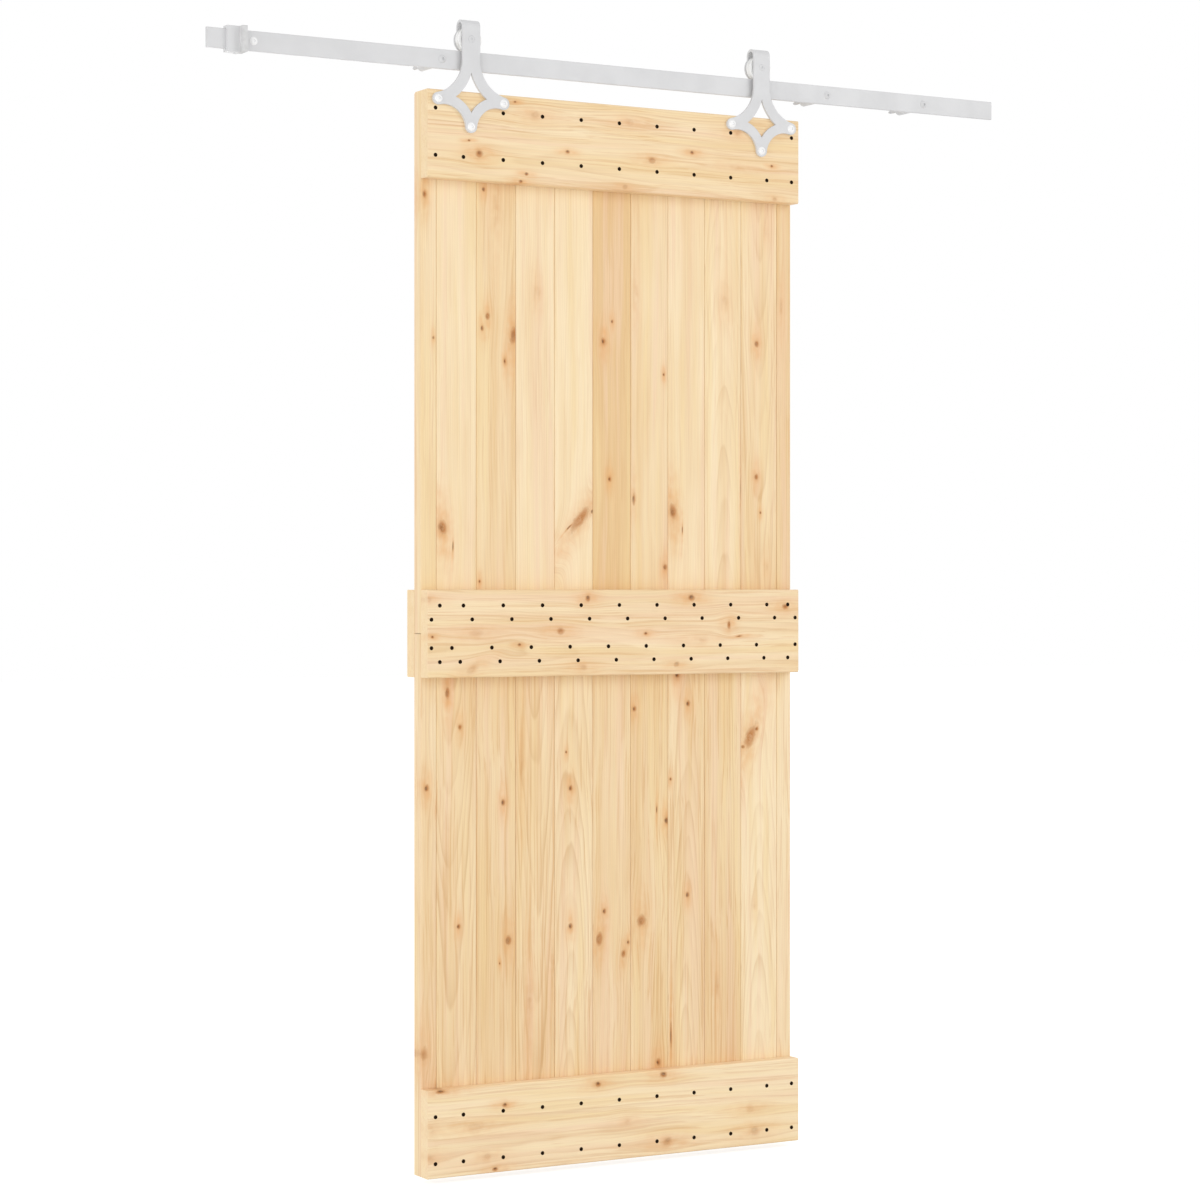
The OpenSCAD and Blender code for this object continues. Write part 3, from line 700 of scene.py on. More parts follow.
@dataclass(frozen=True)
class CoatFinish:
    """Sprayed coat on steel.

    Attributes:
        name: Name of the finish.
        colour: Colour of the coat.
        thin: Colour where the coat is thin on the edges.
        roughness: Lowest and highest roughness.
        peel_scale: Cells of the orange peel per metre.
        relief: Depth of the orange peel in metres.
        bump: Share of that depth that shows.
        edge: Width of the worn edges in metres.
        wear: Most that the thin colour shows there.
        dust: Share of the light that a dusty spot keeps.
        coat_weight: Weight of a clear gloss on top.
    """

    name: str
    colour: Colour
    thin: Colour
    roughness: Range
    peel_scale: float = 650.0
    relief: float = 0.00012
    bump: float = 0.3
    edge: float = 0.0012
    wear: float = 0.5
    dust: float = 0.965
    coat_weight: float = 0.0

    def material(self) -> bpy.types.Material:
        """Makes the finish.

        Returns:
            The material.
        """
        material, graph, shader = new_material(self.name)
        coords = graph.add("ShaderNodeTexCoord")
        surface = graph.add("ShaderNodeNewGeometry")
        coat = graph.use(GROUPS.coat, Vector=coords.outputs["Object"], Normal=surface.outputs["Normal"],
                         Edge_Width=self.edge, Peel_Scale=self.peel_scale)
        dusty = graph.ramp(coat.outputs["Dust"], 0.35, 0.7, 1.0, self.dust)
        base = graph.blend(1.0, self.colour, graph.join(dusty, dusty, dusty), "MULTIPLY")
        worn = graph.blend(graph.times(coat.outputs["Edge"], self.wear), base, self.thin)
        graph.feed(shader.inputs["Base Color"], worn)
        graph.feed(shader.inputs["Roughness"], graph.ramp(coat.outputs["Dust"], 0.3, 0.7, *self.roughness))
        shader.inputs["Coat Weight"].default_value = self.coat_weight
        bump(graph, shader, coat.outputs["Peel"], self.bump, self.relief)
        return material


@dataclass(frozen=True)
class PlateFinish:
    """Bare or plated metal.

    Attributes:
        name: Name of the finish.
        colour: Colour of the metal.
        dark: Colour of its duller spots.
        roughness: Lowest and highest roughness.
        metallic: How metallic the surface is.
        gloss: Strength of the reflections of a surface that isn't metallic.
        cloud_scale: Cells of its spots per metre.
        grain_scale: Cells of its fine grain per metre.
        relief: Depth of its fine grain in metres.
        bump: Share of that depth that shows.
    """

    name: str
    colour: Colour
    dark: Colour
    roughness: Range
    metallic: float = 1.0
    gloss: float = 0.5
    cloud_scale: float = 220.0
    grain_scale: float = 1900.0
    relief: float = 0.00006
    bump: float = 0.25

    def material(self) -> bpy.types.Material:
        """Makes the finish.

        Returns:
            The material.
        """
        material, graph, shader = new_material(self.name)
        coords = graph.add("ShaderNodeTexCoord")
        cloud = graph.even_noise(coords.outputs["Object"], self.cloud_scale, 4.0, 0.65)
        fine = graph.even_noise(coords.outputs["Object"], self.grain_scale)
        spotted = graph.blend(graph.ramp(cloud, 0.4, 0.75), self.colour, self.dark)
        graph.feed(shader.inputs["Base Color"], spotted)
        graph.feed(shader.inputs["Roughness"], graph.ramp(cloud, 0.3, 0.7, *self.roughness))
        shader.inputs["Metallic"].default_value = self.metallic
        shader.inputs["Specular IOR Level"].default_value = self.gloss
        bump(graph, shader, fine, self.bump, self.relief)
        return material


@dataclass(frozen=True)
class MouldedFinish:
    """Moulded plastic or rubber.

    Attributes:
        name: Name of the finish.
        colour: Colour of the material.
        scuffed: Colour of its scuffs.
        roughness: Lowest and highest roughness.
        grain_scale: Cells of its grain per metre.
        relief: Depth of its grain in metres.
        bump: Share of that depth that shows.
        cloud_scale: Cells of its scuffs per metre.
    """

    name: str
    colour: Colour
    scuffed: Colour
    roughness: Range
    grain_scale: float
    relief: float
    bump: float = 0.4
    cloud_scale: float = 45.0

    def material(self) -> bpy.types.Material:
        """Makes the finish.

        Returns:
            The material.
        """
        material, graph, shader = new_material(self.name)
        coords = graph.add("ShaderNodeTexCoord")
        grain = graph.even_noise(coords.outputs["Object"], self.grain_scale, 3.0, 0.6)
        cloud = graph.even_noise(coords.outputs["Object"], self.cloud_scale, 3.0)
        worn = graph.blend(graph.ramp(cloud, 0.45, 0.8), self.colour, self.scuffed)
        graph.feed(shader.inputs["Base Color"], worn)
        graph.feed(shader.inputs["Roughness"], graph.ramp(cloud, 0.3, 0.7, *self.roughness))
        bump(graph, shader, grain, self.bump, self.relief)
        return material


POWDER_COAT = CoatFinish("powder_coat", srgb(217, 217, 218), srgb(150, 151, 154), (0.42, 0.55))
GLOSS_PAINT = CoatFinish("gloss_paint", srgb(250, 250, 250), srgb(206, 206, 208), (0.2, 0.3), coat_weight=0.4)
ZINC_PLATE = PlateFinish("zinc_plate", srgb(202, 204, 206), srgb(160, 163, 168), (0.26, 0.42))
BLACK_SCREW = PlateFinish("black_phosphate", srgb(32, 19, 8), srgb(46, 31, 17), (0.72, 0.88),
                          metallic=0.0, gloss=0.12)
NYLON = MouldedFinish("nylon_white", srgb(246, 246, 245), srgb(228, 227, 224), (0.34, 0.46),
                      grain_scale=900.0, relief=0.00005)
RUBBER = MouldedFinish("rubber_grey", srgb(214, 214, 214), srgb(192, 192, 191), (0.55, 0.72),
                       grain_scale=1400.0, relief=0.00012)


def dress(nodes: Iterable[str], material: bpy.types.Material) -> None:
    """Gives CAD nodes one finish.

    Args:
        nodes: Names of the nodes.
        material: Finish that they take.
    """
    for name in nodes:
        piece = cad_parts[name]
        piece.data.materials.clear()
        piece.data.materials.append(material)
        LOG.info("%s takes %s", name, material.name)


class Bench:
    """Steps that shape a new piece by hand."""

    @staticmethod
    def clear() -> None:
        """Leaves nothing selected, so that an operator acts on the new piece alone."""
        if bpy.context.mode != "OBJECT":
            bpy.ops.object.mode_set(mode="OBJECT")
        bpy.ops.object.select_all(action="DESELECT")

    @staticmethod
    def choose(piece: bpy.types.Object) -> None:
        """Selects one piece alone and makes it the active one.

        Args:
            piece: Piece that the next operators act on.
        """
        Bench.clear()
        piece.select_set(True)
        bpy.context.view_layer.objects.active = piece

    @staticmethod
    def edit() -> None:
        """Opens the active piece in edit mode with all of it selected."""
        bpy.ops.object.mode_set(mode="EDIT")
        bpy.ops.mesh.select_all(action="SELECT")

    @staticmethod
    def extend(step: float, scale: float = 1.0) -> None:
        """Extrudes the selected face along Z and scales its end.

        Args:
            step: Length of the extrusion.
            scale: Size of its end over that of its start.
        """
        bpy.ops.mesh.extrude_region_move(TRANSFORM_OT_translate={"value": (0.0, 0.0, step)})
        if scale != 1.0:
            bpy.ops.transform.resize(value=(scale, scale, 1.0))

    @staticmethod
    def pick(piece: bpy.types.Object, wanted: Callable[[Vector], bool]) -> None:
        """Selects points of a piece by their place, in edit mode.

        Args:
            piece: Piece to select on.
            wanted: Tells of a place whether a point there is selected.
        """
        bpy.ops.mesh.select_all(action="DESELECT")
        bpy.ops.object.mode_set(mode="OBJECT")
        for vertex in piece.data.vertices:
            vertex.select = wanted(vertex.co)
        bpy.ops.object.mode_set(mode="EDIT")

    @staticmethod
    def close() -> None:
        """Fills the open ends of the piece in edit mode and turns its faces outwards."""
        bpy.ops.mesh.select_all(action="SELECT")
        bpy.ops.mesh.remove_doubles(threshold=WELD)
        bpy.ops.mesh.fill_holes(sides=0)
        bpy.ops.mesh.normals_make_consistent(inside=False)
        bpy.ops.object.mode_set(mode="OBJECT")

    @staticmethod
    def combine(piece: bpy.types.Object, other: bpy.types.Object, way: Solid) -> None:
        """Cuts another solid out of a piece, or joins it to the piece, and removes it.

        Args:
            piece: Piece that stays.
            other: Solid that is used up.
            way: Cut or join.
        """
        Bench.choose(piece)
        step = piece.modifiers.new(way.name.lower(), "BOOLEAN")
        step.operation = way.value
        step.object = other
        step.solver = "EXACT"
        bpy.ops.object.modifier_apply(modifier=step.name)
        bpy.data.objects.remove(other)

    @staticmethod
    def turn(piece: bpy.types.Object, angle: float) -> None:
        """Turns a piece about X and keeps the turn in its mesh."""
        piece.rotation_euler = (angle, 0.0, 0.0)
        bpy.ops.object.transform_apply(location=False, rotation=True, scale=False)

    @staticmethod
    def finish(piece: bpy.types.Object) -> None:
        """Shades a fastener smooth and turns its end from -Z to +Y."""
        bpy.ops.object.shade_smooth_by_angle(angle=SMOOTH_ANGLE)
        Bench.turn(piece, math.pi / 2)


def shaft_places(node: str, reach: float) -> list[Vector]:
    """Finds where the separate fasteners of a node stand, from the points of its mesh.

    Args:
        node: Node of fasteners that all point along Y.
        reach: Distance within which points belong to one fastener.

    Returns:
        The middle of each fastener, with the lowest Y of the node.
    """
    groups: list[list[Vector]] = []
    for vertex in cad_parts[node].data.vertices:
        point = Vector((vertex.co.x, 0.0, vertex.co.z))
        for group in groups:
            if (group[0] - point).length < reach:
                group.append(point)
                break
        else:
            groups.append([point])
    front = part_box(node)[0].y
    places = []
    for group in groups:
        xs = [p.x for p in group]
        zs = [p.z for p in group]
        places.append(Vector(((min(xs) + max(xs)) / 2, front, (min(zs) + max(zs)) / 2)))
    return places


@dataclass(frozen=True)
class Recess:
    """Driver recess in the top of a head, in metres.

    Attributes:
        corners: Corners of the recess.
        radius: Radius to the corners.
        depth: Depth below the top.
        valley: Share of the radius that every second corner keeps.
    """

    corners: int
    radius: float
    depth: float
    valley: float = 1.0

    def cut(self, piece: bpy.types.Object, top: float) -> None:
        """Cuts the recess into a piece.

        Args:
            piece: Piece whose axis is Z.
            top: Height of its top.
        """
        Bench.clear()
        bpy.ops.mesh.primitive_cylinder_add(vertices=self.corners, radius=self.radius, depth=2 * self.depth,
                                            location=(0.0, 0.0, top))
        tool = bpy.context.object
        bpy.ops.object.transform_apply(location=True, rotation=False, scale=False)
        step = 2 * math.pi / self.corners
        Bench.edit()
        Bench.pick(tool, lambda place: round(math.atan2(place.x, place.y) / step) % 2 == 1)
        bpy.ops.transform.resize(value=(self.valley, self.valley, 1.0))
        bpy.ops.object.mode_set(mode="OBJECT")
        Bench.combine(piece, tool, Solid.CUT)


@dataclass(frozen=True)
class Thread:
    """Rolled screw thread, in metres.

    Attributes:
        crest: Radius of the crests.
        root: Radius of the roots.
        pitch: Distance from crest to crest.
        length: Length of the thread.
        tip: Length over which it narrows at its end.
        tip_scale: Share of the radius that its end keeps.
        sides: Corners round the thread.
        slices: Steps in which the end narrows.
        profile: Steps of one turn, each with its rise and its share of the pitch.
    """

    crest: float
    root: float
    pitch: float
    length: float
    tip: float
    tip_scale: float
    sides: int = 24
    slices: int = 6
    profile: tuple[tuple[int, float], ...] = ((0, 0.15), (1, 0.3), (0, 0.25), (-1, 0.3))

    def build(self) -> bpy.types.Object:
        """Models the thread along -Z from the origin, with one more turn above it to sink into a shank.

        Returns:
            The closed thread.
        """
        turns = round(self.length / self.pitch)
        pitch = self.length / turns
        rise = self.crest - self.root
        Bench.clear()
        bpy.ops.mesh.primitive_plane_add(size=pitch)
        piece = bpy.context.object
        Bench.edit()
        bpy.ops.mesh.merge(type="CENTER")
        bpy.ops.transform.translate(value=(self.root, 0.0, 0.0))
        for way, share in self.profile:
            move = (way * rise, 0.0, share * pitch)
            bpy.ops.mesh.extrude_vertices_move(TRANSFORM_OT_translate={"value": move})
        bpy.ops.object.mode_set(mode="OBJECT")
        sweep = piece.modifiers.new("sweep", "SCREW")
        sweep.axis = "Z"
        sweep.screw_offset = pitch
        sweep.iterations = turns
        sweep.steps = sweep.render_steps = self.sides
        bpy.ops.object.modifier_apply(modifier=sweep.name)
        Bench.turn(piece, math.pi)
        Bench.edit()
        bpy.ops.transform.translate(value=(0.0, 0.0, pitch))
        Bench.close()
        Bench.edit()
        bpy.ops.mesh.quads_convert_to_tris()
        self._narrow(piece)
        return piece

    def _narrow(self, piece: bpy.types.Object) -> None:
        """Narrows the end of the thread slice by slice.

        Args:
            piece: Thread along -Z, in edit mode.
        """
        depth = self.tip / self.slices
        for slice_number in range(self.slices):
            high = self.tip - self.length - slice_number * depth
            Bench.pick(piece, lambda place: high - depth <= place.z <= high - 0.1 * WELD)
            scale = 1.0 - (1.0 - self.tip_scale) * (slice_number + 0.5) / self.slices
            bpy.ops.transform.resize(value=(scale, scale, 1.0), center_override=(0.0, 0.0, high))
        bpy.ops.object.mode_set(mode="OBJECT")


@dataclass(frozen=True)
class WoodScrew:
    """Countersunk wood screw with a star recess in its head, in metres.

    Attributes:
        head_radius: Radius of the head.
        shank_radius: Radius of the shank.
        tip: Length of the point.
        blunt: Share of the shank's radius that the point keeps until its corners are merged.
        recess: Recess in the head.
        sides: Corners round the screw.
    """

    head_radius: float = 4.0 * MM
    shank_radius: float = 2.25 * MM
    tip: float = 7.0 * MM
    blunt: float = 0.02
    recess: Recess = Recess(corners=12, radius=1.8 * MM, depth=1.3 * MM, valley=0.7)
    sides: int = 24

    def build(self, length: float) -> bpy.types.Object:
        """Models one screw at the origin, its head at y = 0 and its point along +Y.

        Args:
            length: Length from the head to the point.

        Returns:
            The screw.
        """
        Bench.clear()
        bpy.ops.mesh.primitive_circle_add(vertices=self.sides, radius=self.head_radius, fill_type="NGON")
        screw = bpy.context.object
        cone = self.head_radius - self.shank_radius
        Bench.edit()
        Bench.extend(-cone, self.shank_radius / self.head_radius)
        Bench.extend(-(length - cone - self.tip))
        Bench.extend(-self.tip, self.blunt)
        bpy.ops.mesh.merge(type="CENTER")
        Bench.close()
        self.recess.cut(screw, 0.0)
        Bench.finish(screw)
        return screw


@dataclass(frozen=True)
class DomeBolt:
    """Bolt with a low dome head, a plain shank and a thread, in metres.

    Attributes:
        head_radius: Radius of the head.
        head_height: Height of the dome.
        shank_radius: Radius of the plain shank.
        thread: Thread at the end.
        recess: Recess in the dome.
        rings: Steps of the dome.
        sides: Corners round the bolt.
    """

    head_radius: float
    head_height: float
    shank_radius: float
    thread: Thread
    recess: Recess
    rings: int = 7
    sides: int = 32

    def build(self, length: float) -> bpy.types.Object:
        """Models one bolt at the origin, the flat of its head at y = 0 and its end along +Y.

        Args:
            length: Length from the flat of the head to the end.

        Returns:
            The bolt.
        """
        Bench.clear()
        bpy.ops.mesh.primitive_circle_add(vertices=self.sides, radius=self.head_radius, fill_type="NGON")
        bolt = bpy.context.object
        Bench.edit()
        step = self.head_height / self.rings
        for ring in range(self.rings):
            Bench.extend(step, self._dome(ring + 1) / self._dome(ring))
        bpy.ops.mesh.merge(type="CENTER")
        Bench.close()
        Bench.edit()
        Bench.pick(bolt, lambda place: abs(place.z) <= 0.5 * step)
        bpy.ops.mesh.inset(thickness=self.head_radius - self.shank_radius)
        Bench.extend(self.thread.length - length)
        Bench.close()
        thread = self.thread.build()
        Bench.choose(thread)
        thread.location = (0.0, 0.0, self.thread.length - length)
        bpy.ops.object.transform_apply(location=True, rotation=False, scale=False)
        Bench.combine(bolt, thread, Solid.JOIN)
        self.recess.cut(bolt, self.head_height)
        Bench.finish(bolt)
        return bolt

    def _dome(self, ring: int) -> float:
        """Finds the radius of the dome at one of its steps.

        Args:
            ring: Number of the step, from the flat of the head.

        Returns:
            The radius there, never quite 0.
        """
        ball = (self.head_radius ** 2 + self.head_height ** 2) / (2 * self.head_height)
        height = self.head_height * ring / self.rings
        return math.sqrt(max(ball ** 2 - (ball - self.head_height + height) ** 2, LEAST_SQUARE))


METRIC_THREAD = Thread(crest=3.96 * MM, root=3.35 * MM, pitch=1.25 * MM, length=22.0 * MM,
                       tip=1.4 * MM, tip_scale=0.86)
WALL_THREAD = Thread(crest=3.7 * MM, root=2.7 * MM, pitch=3.3 * MM, length=40.0 * MM,
                     tip=9.0 * MM, tip_scale=0.08)


def copies(master: bpy.types.Object, places: Sequence[Vector], name: str,
           finishes: Sequence[bpy.types.Material]) -> bpy.types.Object:
    """Sets copies of one piece at several places, joined into one piece, and removes the master.

    Args:
        master: Piece at the origin.
        places: Where the copies go.
        name: Name of the joined piece.
        finishes: Finish of each copy; the last one goes on for the copies that are left.

    Returns:
        The joined piece.
    """
    Bench.clear()
    made = []
    for number, place in enumerate(places):
        copy = master.copy()
        copy.data = master.data.copy()
        copy.data.materials.clear()
        copy.data.materials.append(finishes[min(number, len(finishes) - 1)])
        bpy.context.scene.collection.objects.link(copy)
        copy.location = place
        copy.select_set(True)
        made.append(copy)
    bpy.context.view_layer.objects.active = made[0]
    bpy.ops.object.join()
    joined = bpy.context.object
    bpy.ops.object.transform_apply(location=True, rotation=True, scale=True)
    joined.name = name
    bpy.data.objects.remove(master)
    return joined


def mount(piece: bpy.types.Object, body: str, node: str) -> None:
    """Lets a new piece ride a body in place of a CAD node.

    Args:
        piece: New piece.
        body: Body that carries it.
        node: Node that it replaces.
    """
    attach(piece, body)
    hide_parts(node)
    LOG.info("%s replaces %s", piece.name, node)


def place_bolts(bolt: DomeBolt, node: str, name: str, finishes: Sequence[bpy.types.Material],
                body: str) -> None:
    """Models the bolts of one node.

    Args:
        bolt: Form of the bolts.
        node: Node that they replace.
        name: Name of the new piece.
        finishes: Finish of each bolt from the left; the last one goes on.
        body: Body that carries them.
    """
    low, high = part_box(node)
    places = shaft_places(node, HEAD_REACH * bolt.head_radius)
    places = [place + Vector((0.0, bolt.head_height, 0.0)) for place in places]
    places.sort(key=lambda place: place.x)
    piece = copies(bolt.build(high.y - low.y - bolt.head_height), places, name, finishes)
    mount(piece, body, node)


@dataclass
class DoorLeaf:
    """Boarded leaf: tongued and grooved boards, battens and their screws.

    Attributes:
        finish: Finish of the boards.
        batten_finish: Finish of the battens.
        screw: Screw that holds the battens.
        seed: Seed of what differs from board to board.
        upper: How the upper boards show, from the left.
        lower: How the lower boards show, from the left.
        top: How the top batten shows.
        middle: How the front middle batten shows.
        back: How the back middle batten shows.
        bottom: How the bottom batten shows.
    """

    finish: PineFinish = PineFinish()
    batten_finish: PineFinish = PineFinish(ring_width=(3.6, 6.0), flat_across=40.0, flat_depth=(60.0, 110.0),
                                           flat_drift=(0.01, 0.03))
    screw: WoodScrew = WoodScrew()
    seed: int = 7
    upper: tuple[PineLook, ...] = (
        PineLook(0.4, 0.3, (
            Knot(-12, 325, 6, stretch=1.7, dark=0.5), Knot(7, 48, 3.5, 0.7))),
        PineLook(0.22, 0.22, (
            Knot(-34, -320, 12.5, stretch=1.5, slant=-0.1, dark=0.45),
            Knot(-20, -357, 2.4, 0.9, stretch=6.0))),
        PineLook(0.5, 0.32, (
            Knot(-31, 342, 4.5), Knot(-4, 314, 9, 0.3, stretch=6.0),
            Knot(-21, 95, 6, 0.9, stretch=1.6, dark=0.35), Knot(-32, 71, 5.5),
            Knot(36, 61, 11, stretch=2.0, slant=0.1, dark=0.35), Knot(23, 8, 5.5, stretch=1.6),
            Knot(-40, -424, 3.5))),
        PineLook(0.18, 0.26, (
            Knot(1, 147, 9, 0.45, stretch=1.4), Knot(42, 167, 2, 0.8, stretch=14.0),
            Knot(42, -288, 2.2, 0.8, stretch=12.0))),
        PineLook(0.14, 0.22, (
            Knot(13, -298, 17, 0.72, stretch=1.9, slant=0.7, dark=0.05), Knot(24, -284, 4, 0.9),
            Knot(1, -317, 3, 0.9, stretch=3.5, slant=0.6))),
        PineLook(0.95, 0.32, (
            Knot(-3, 96, 3.5), Knot(-23, 55, 7.5), Knot(-9, -219, 5.5))),
        PineLook(0.4, 0.24, (
            Knot(-35, 154, 6, 0.4, stretch=4.0), Knot(30, -6, 3.5), Knot(-40, -257, 5, 0.7, stretch=3.0),
            Knot(33, -395, 6.5, dark=0.6))),
        PineLook(0.28, 0.24, (
            Knot(-35, -283, 11, stretch=1.7, slant=-0.1, dark=0.45),
            Knot(-21, -319, 2.2, 0.9, stretch=6.0))),
        PineLook(0.2, 0.3, (
            Knot(0, 149, 9, 0.45), Knot(40, -235, 3, 0.6, stretch=12.0)), Cut.FLAT),
        PineLook(0.44, 0.38, (
            Knot(-9, 65, 6.5, dark=0.6), Knot(15, 293, 6, 0.35), Knot(0, -282, 3),
            Knot(-10, -209, 6.5, 0.9, dark=0.4), Knot(14, -394, 6, 0.4)), Cut.FLAT),
        PineLook(0.72, 0.36, (
            Knot(-6, 144, 5, 0.5, stretch=4.0),)),
    )
    lower: tuple[PineLook, ...] = (
        PineLook(0.45, 0.4, (
            Knot(-8, 226, 6.5), Knot(17, 189, 5.5), Knot(-14, -288, 11, 0.62, stretch=1.4, dark=0.2),
            Knot(16, -348, 8, 0.8))),
        PineLook(0.48, 0.5, (
            Knot(-23, 410, 6.5, stretch=2.4, dark=0.5), Knot(4, 343, 6.5, 0.75, dark=0.4),
            Knot(1, -45, 5.5)), Cut.FLAT),
        PineLook(0.6, 0.48, (
            Knot(12, 193, 6, stretch=1.4), Knot(24, -78, 9, 0.75, stretch=1.4, dark=0.5),
            Knot(7, -122, 3))),
        PineLook(0.5, 0.55, (
            Knot(-33, 261, 5, 0.45, stretch=8.0), Knot(-16, -195, 8, 0.45, stretch=5.0),
            Knot(37, -124, 7, 0.4, stretch=5.0)), Cut.FLAT),
        PineLook(0.34, 0.42, (
            Knot(-21, 288, 3), Knot(-11, 216, 6), Knot(-11, -58, 6)), Cut.FLAT),
        PineLook(0.5, 0.38, (
            Knot(-21, -32, 5.5), Knot(-32, -87, 9.5, 0.85, stretch=1.8, slant=0.1, dark=0.25),
            Knot(34, -97, 4), Knot(24, -119, 7, 0.8, stretch=1.4, slant=0.2, dark=0.35))),
        PineLook(0.55, 0.55, (
            Knot(-39, 371, 5.5), Knot(37, 144, 7.5, stretch=1.4), Knot(15, 167, 2.5, 0.9, stretch=5.0),
            Knot(-22, -57, 12, 0.7, stretch=1.4, dark=0.4), Knot(17, -344, 8, 0.8))),
        PineLook(0.52, 0.52, (
            Knot(0, 379, 6.5, 0.8), Knot(-25, 437, 8, 0.8), Knot(-1, -9, 5.5), Knot(-41, 227, 3.5),
            Knot(-40, -292, 2.5, 0.9, stretch=14.0)), Cut.FLAT),
        PineLook(0.58, 0.55, (
            Knot(-17, -199, 6, 0.5, stretch=5.0),)),
        PineLook(-0.04, 0.34, (
            Knot(-25, 309, 16, 0.72, stretch=2.0, slant=0.35, dark=0.1),
            Knot(-19, 324, 4, 0.9, stretch=1.8, dark=0.5), Knot(-31, 288, 4, 0.85, dark=0.5),
            Knot(-16, -39, 6, 0.35)), Cut.FLAT),
        PineLook(0.2, 0.38),
    )
    top: PineLook = PineLook(0.36, 0.44, (
        Knot(-33, -314, 9.5, stretch=0.9, dark=0.6), Knot(-12, -336, 3.5),
        Knot(51, -191, 10, 0.53, dark=0.1), Knot(-16, -118, 4.5), Knot(-66, -210, 4), Knot(-81, -222, 4.5),
        Knot(71, -235, 3.5), Knot(53, 23, 10, 0.5, dark=0.1), Knot(-19, 75, 8.5, 0.65, dark=0.4),
        Knot(2, 169, 5), Knot(50, 277, 9, 0.53, dark=0.1), Knot(-20, 275, 8, 0.35, stretch=3.0),
        Knot(-14, 360, 3.5), Knot(-77, 13, 6, 0.55), Knot(-79, 367, 6, 0.55)), Cut.FLAT)
    middle: PineLook = PineLook(0.34, 0.42, (
        Knot(68, -72, 8.5, 0.95, stretch=0.8), Knot(4, -134, 9, 0.68, stretch=1.2, dark=0.4),
        Knot(1, -320, 9, 0.51, stretch=2.0, dark=0.1), Knot(66, -423, 7.5, 0.53, dark=0.1),
        Knot(-22, -225, 4), Knot(-68, -328, 11, 0.53, slant=0.5, dark=0.1),
        Knot(-68, -82, 8, 0.53, dark=0.1), Knot(-5, -415, 3.5), Knot(69, 167, 8.5, 0.95, stretch=1.2),
        Knot(14, 257, 11, 0.85, stretch=0.45, dark=0.3), Knot(50, 393, 8, 0.75, dark=0.4),
        Knot(-3, 61, 4.5, 0.85), Knot(-16, 193, 9, 0.4, stretch=2.0), Knot(-65, 133, 6.5, 0.6),
        Knot(-9, 281, 2.5, 0.8, stretch=4.0)), Cut.FLAT)
    back: PineLook = PineLook(0.5, 0.34, (
        Knot(40, -260, 9), Knot(-30, -40, 7, 0.8), Knot(22, 180, 10, 0.7, stretch=1.6),
        Knot(-55, 330, 6)), Cut.FLAT)
    # Palest tone and soft rings: partly the batten's own pale wood, partly painted light that makes up for
    # the weaker light low on the door
    bottom: PineLook = PineLook(-0.1, 0.36, (
        Knot(45, -257, 5.5), Knot(69, -49, 7.5, 0.8), Knot(82, -397, 5, 0.9, stretch=3.0),
        Knot(8, -324, 10, 0.5, stretch=2.2, dark=0.1), Knot(9, -418, 10, 0.4), Knot(-44, -420, 9, 0.5),
        Knot(-52, -296, 9, 0.52, dark=0.1), Knot(-76, -279, 6.5, 0.8), Knot(-59, 111, 12, 0.6),
        Knot(-56, 318, 12, 0.55), Knot(76, 102, 8, 0.8), Knot(-12, 308, 10, 0.5, dark=0.1),
        Knot(-10, 19, 8, 0.35)), Cut.FLAT)

    def dress_boards(self) -> None:
        """Gives each board and batten the finish of its own cut."""
        draw = random.Random(self.seed)
        for row, looks in (("upper", self.upper), ("lower", self.lower)):
            for number, look in enumerate(looks, 1):
                node = f"{row}_board_{number}"
                dress([node], self.finish.material(node, Grain.UPRIGHT, look, draw))
        for node, look in (("top_batten", self.top), ("middle_batten_front", self.middle),
                           ("middle_batten_back", self.back), ("bottom_batten", self.bottom)):
            dress([node], self.batten_finish.material(node, Grain.LEVEL, look, draw))

    def build_screws(self, finish: bpy.types.Material) -> None:
        """Models the screws of each batten with their star recess.

        Args:
            finish: Finish of the screws.
        """
        for batten in ("top", "middle", "bottom"):
            node = f"{batten}_batten_screws"
            low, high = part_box(node)
            places = shaft_places(node, HEAD_REACH * self.screw.head_radius)
            piece = copies(self.screw.build(high.y - low.y), places, f"{batten}_batten_star_screws", [finish])
            mount(piece, "leaf", node)


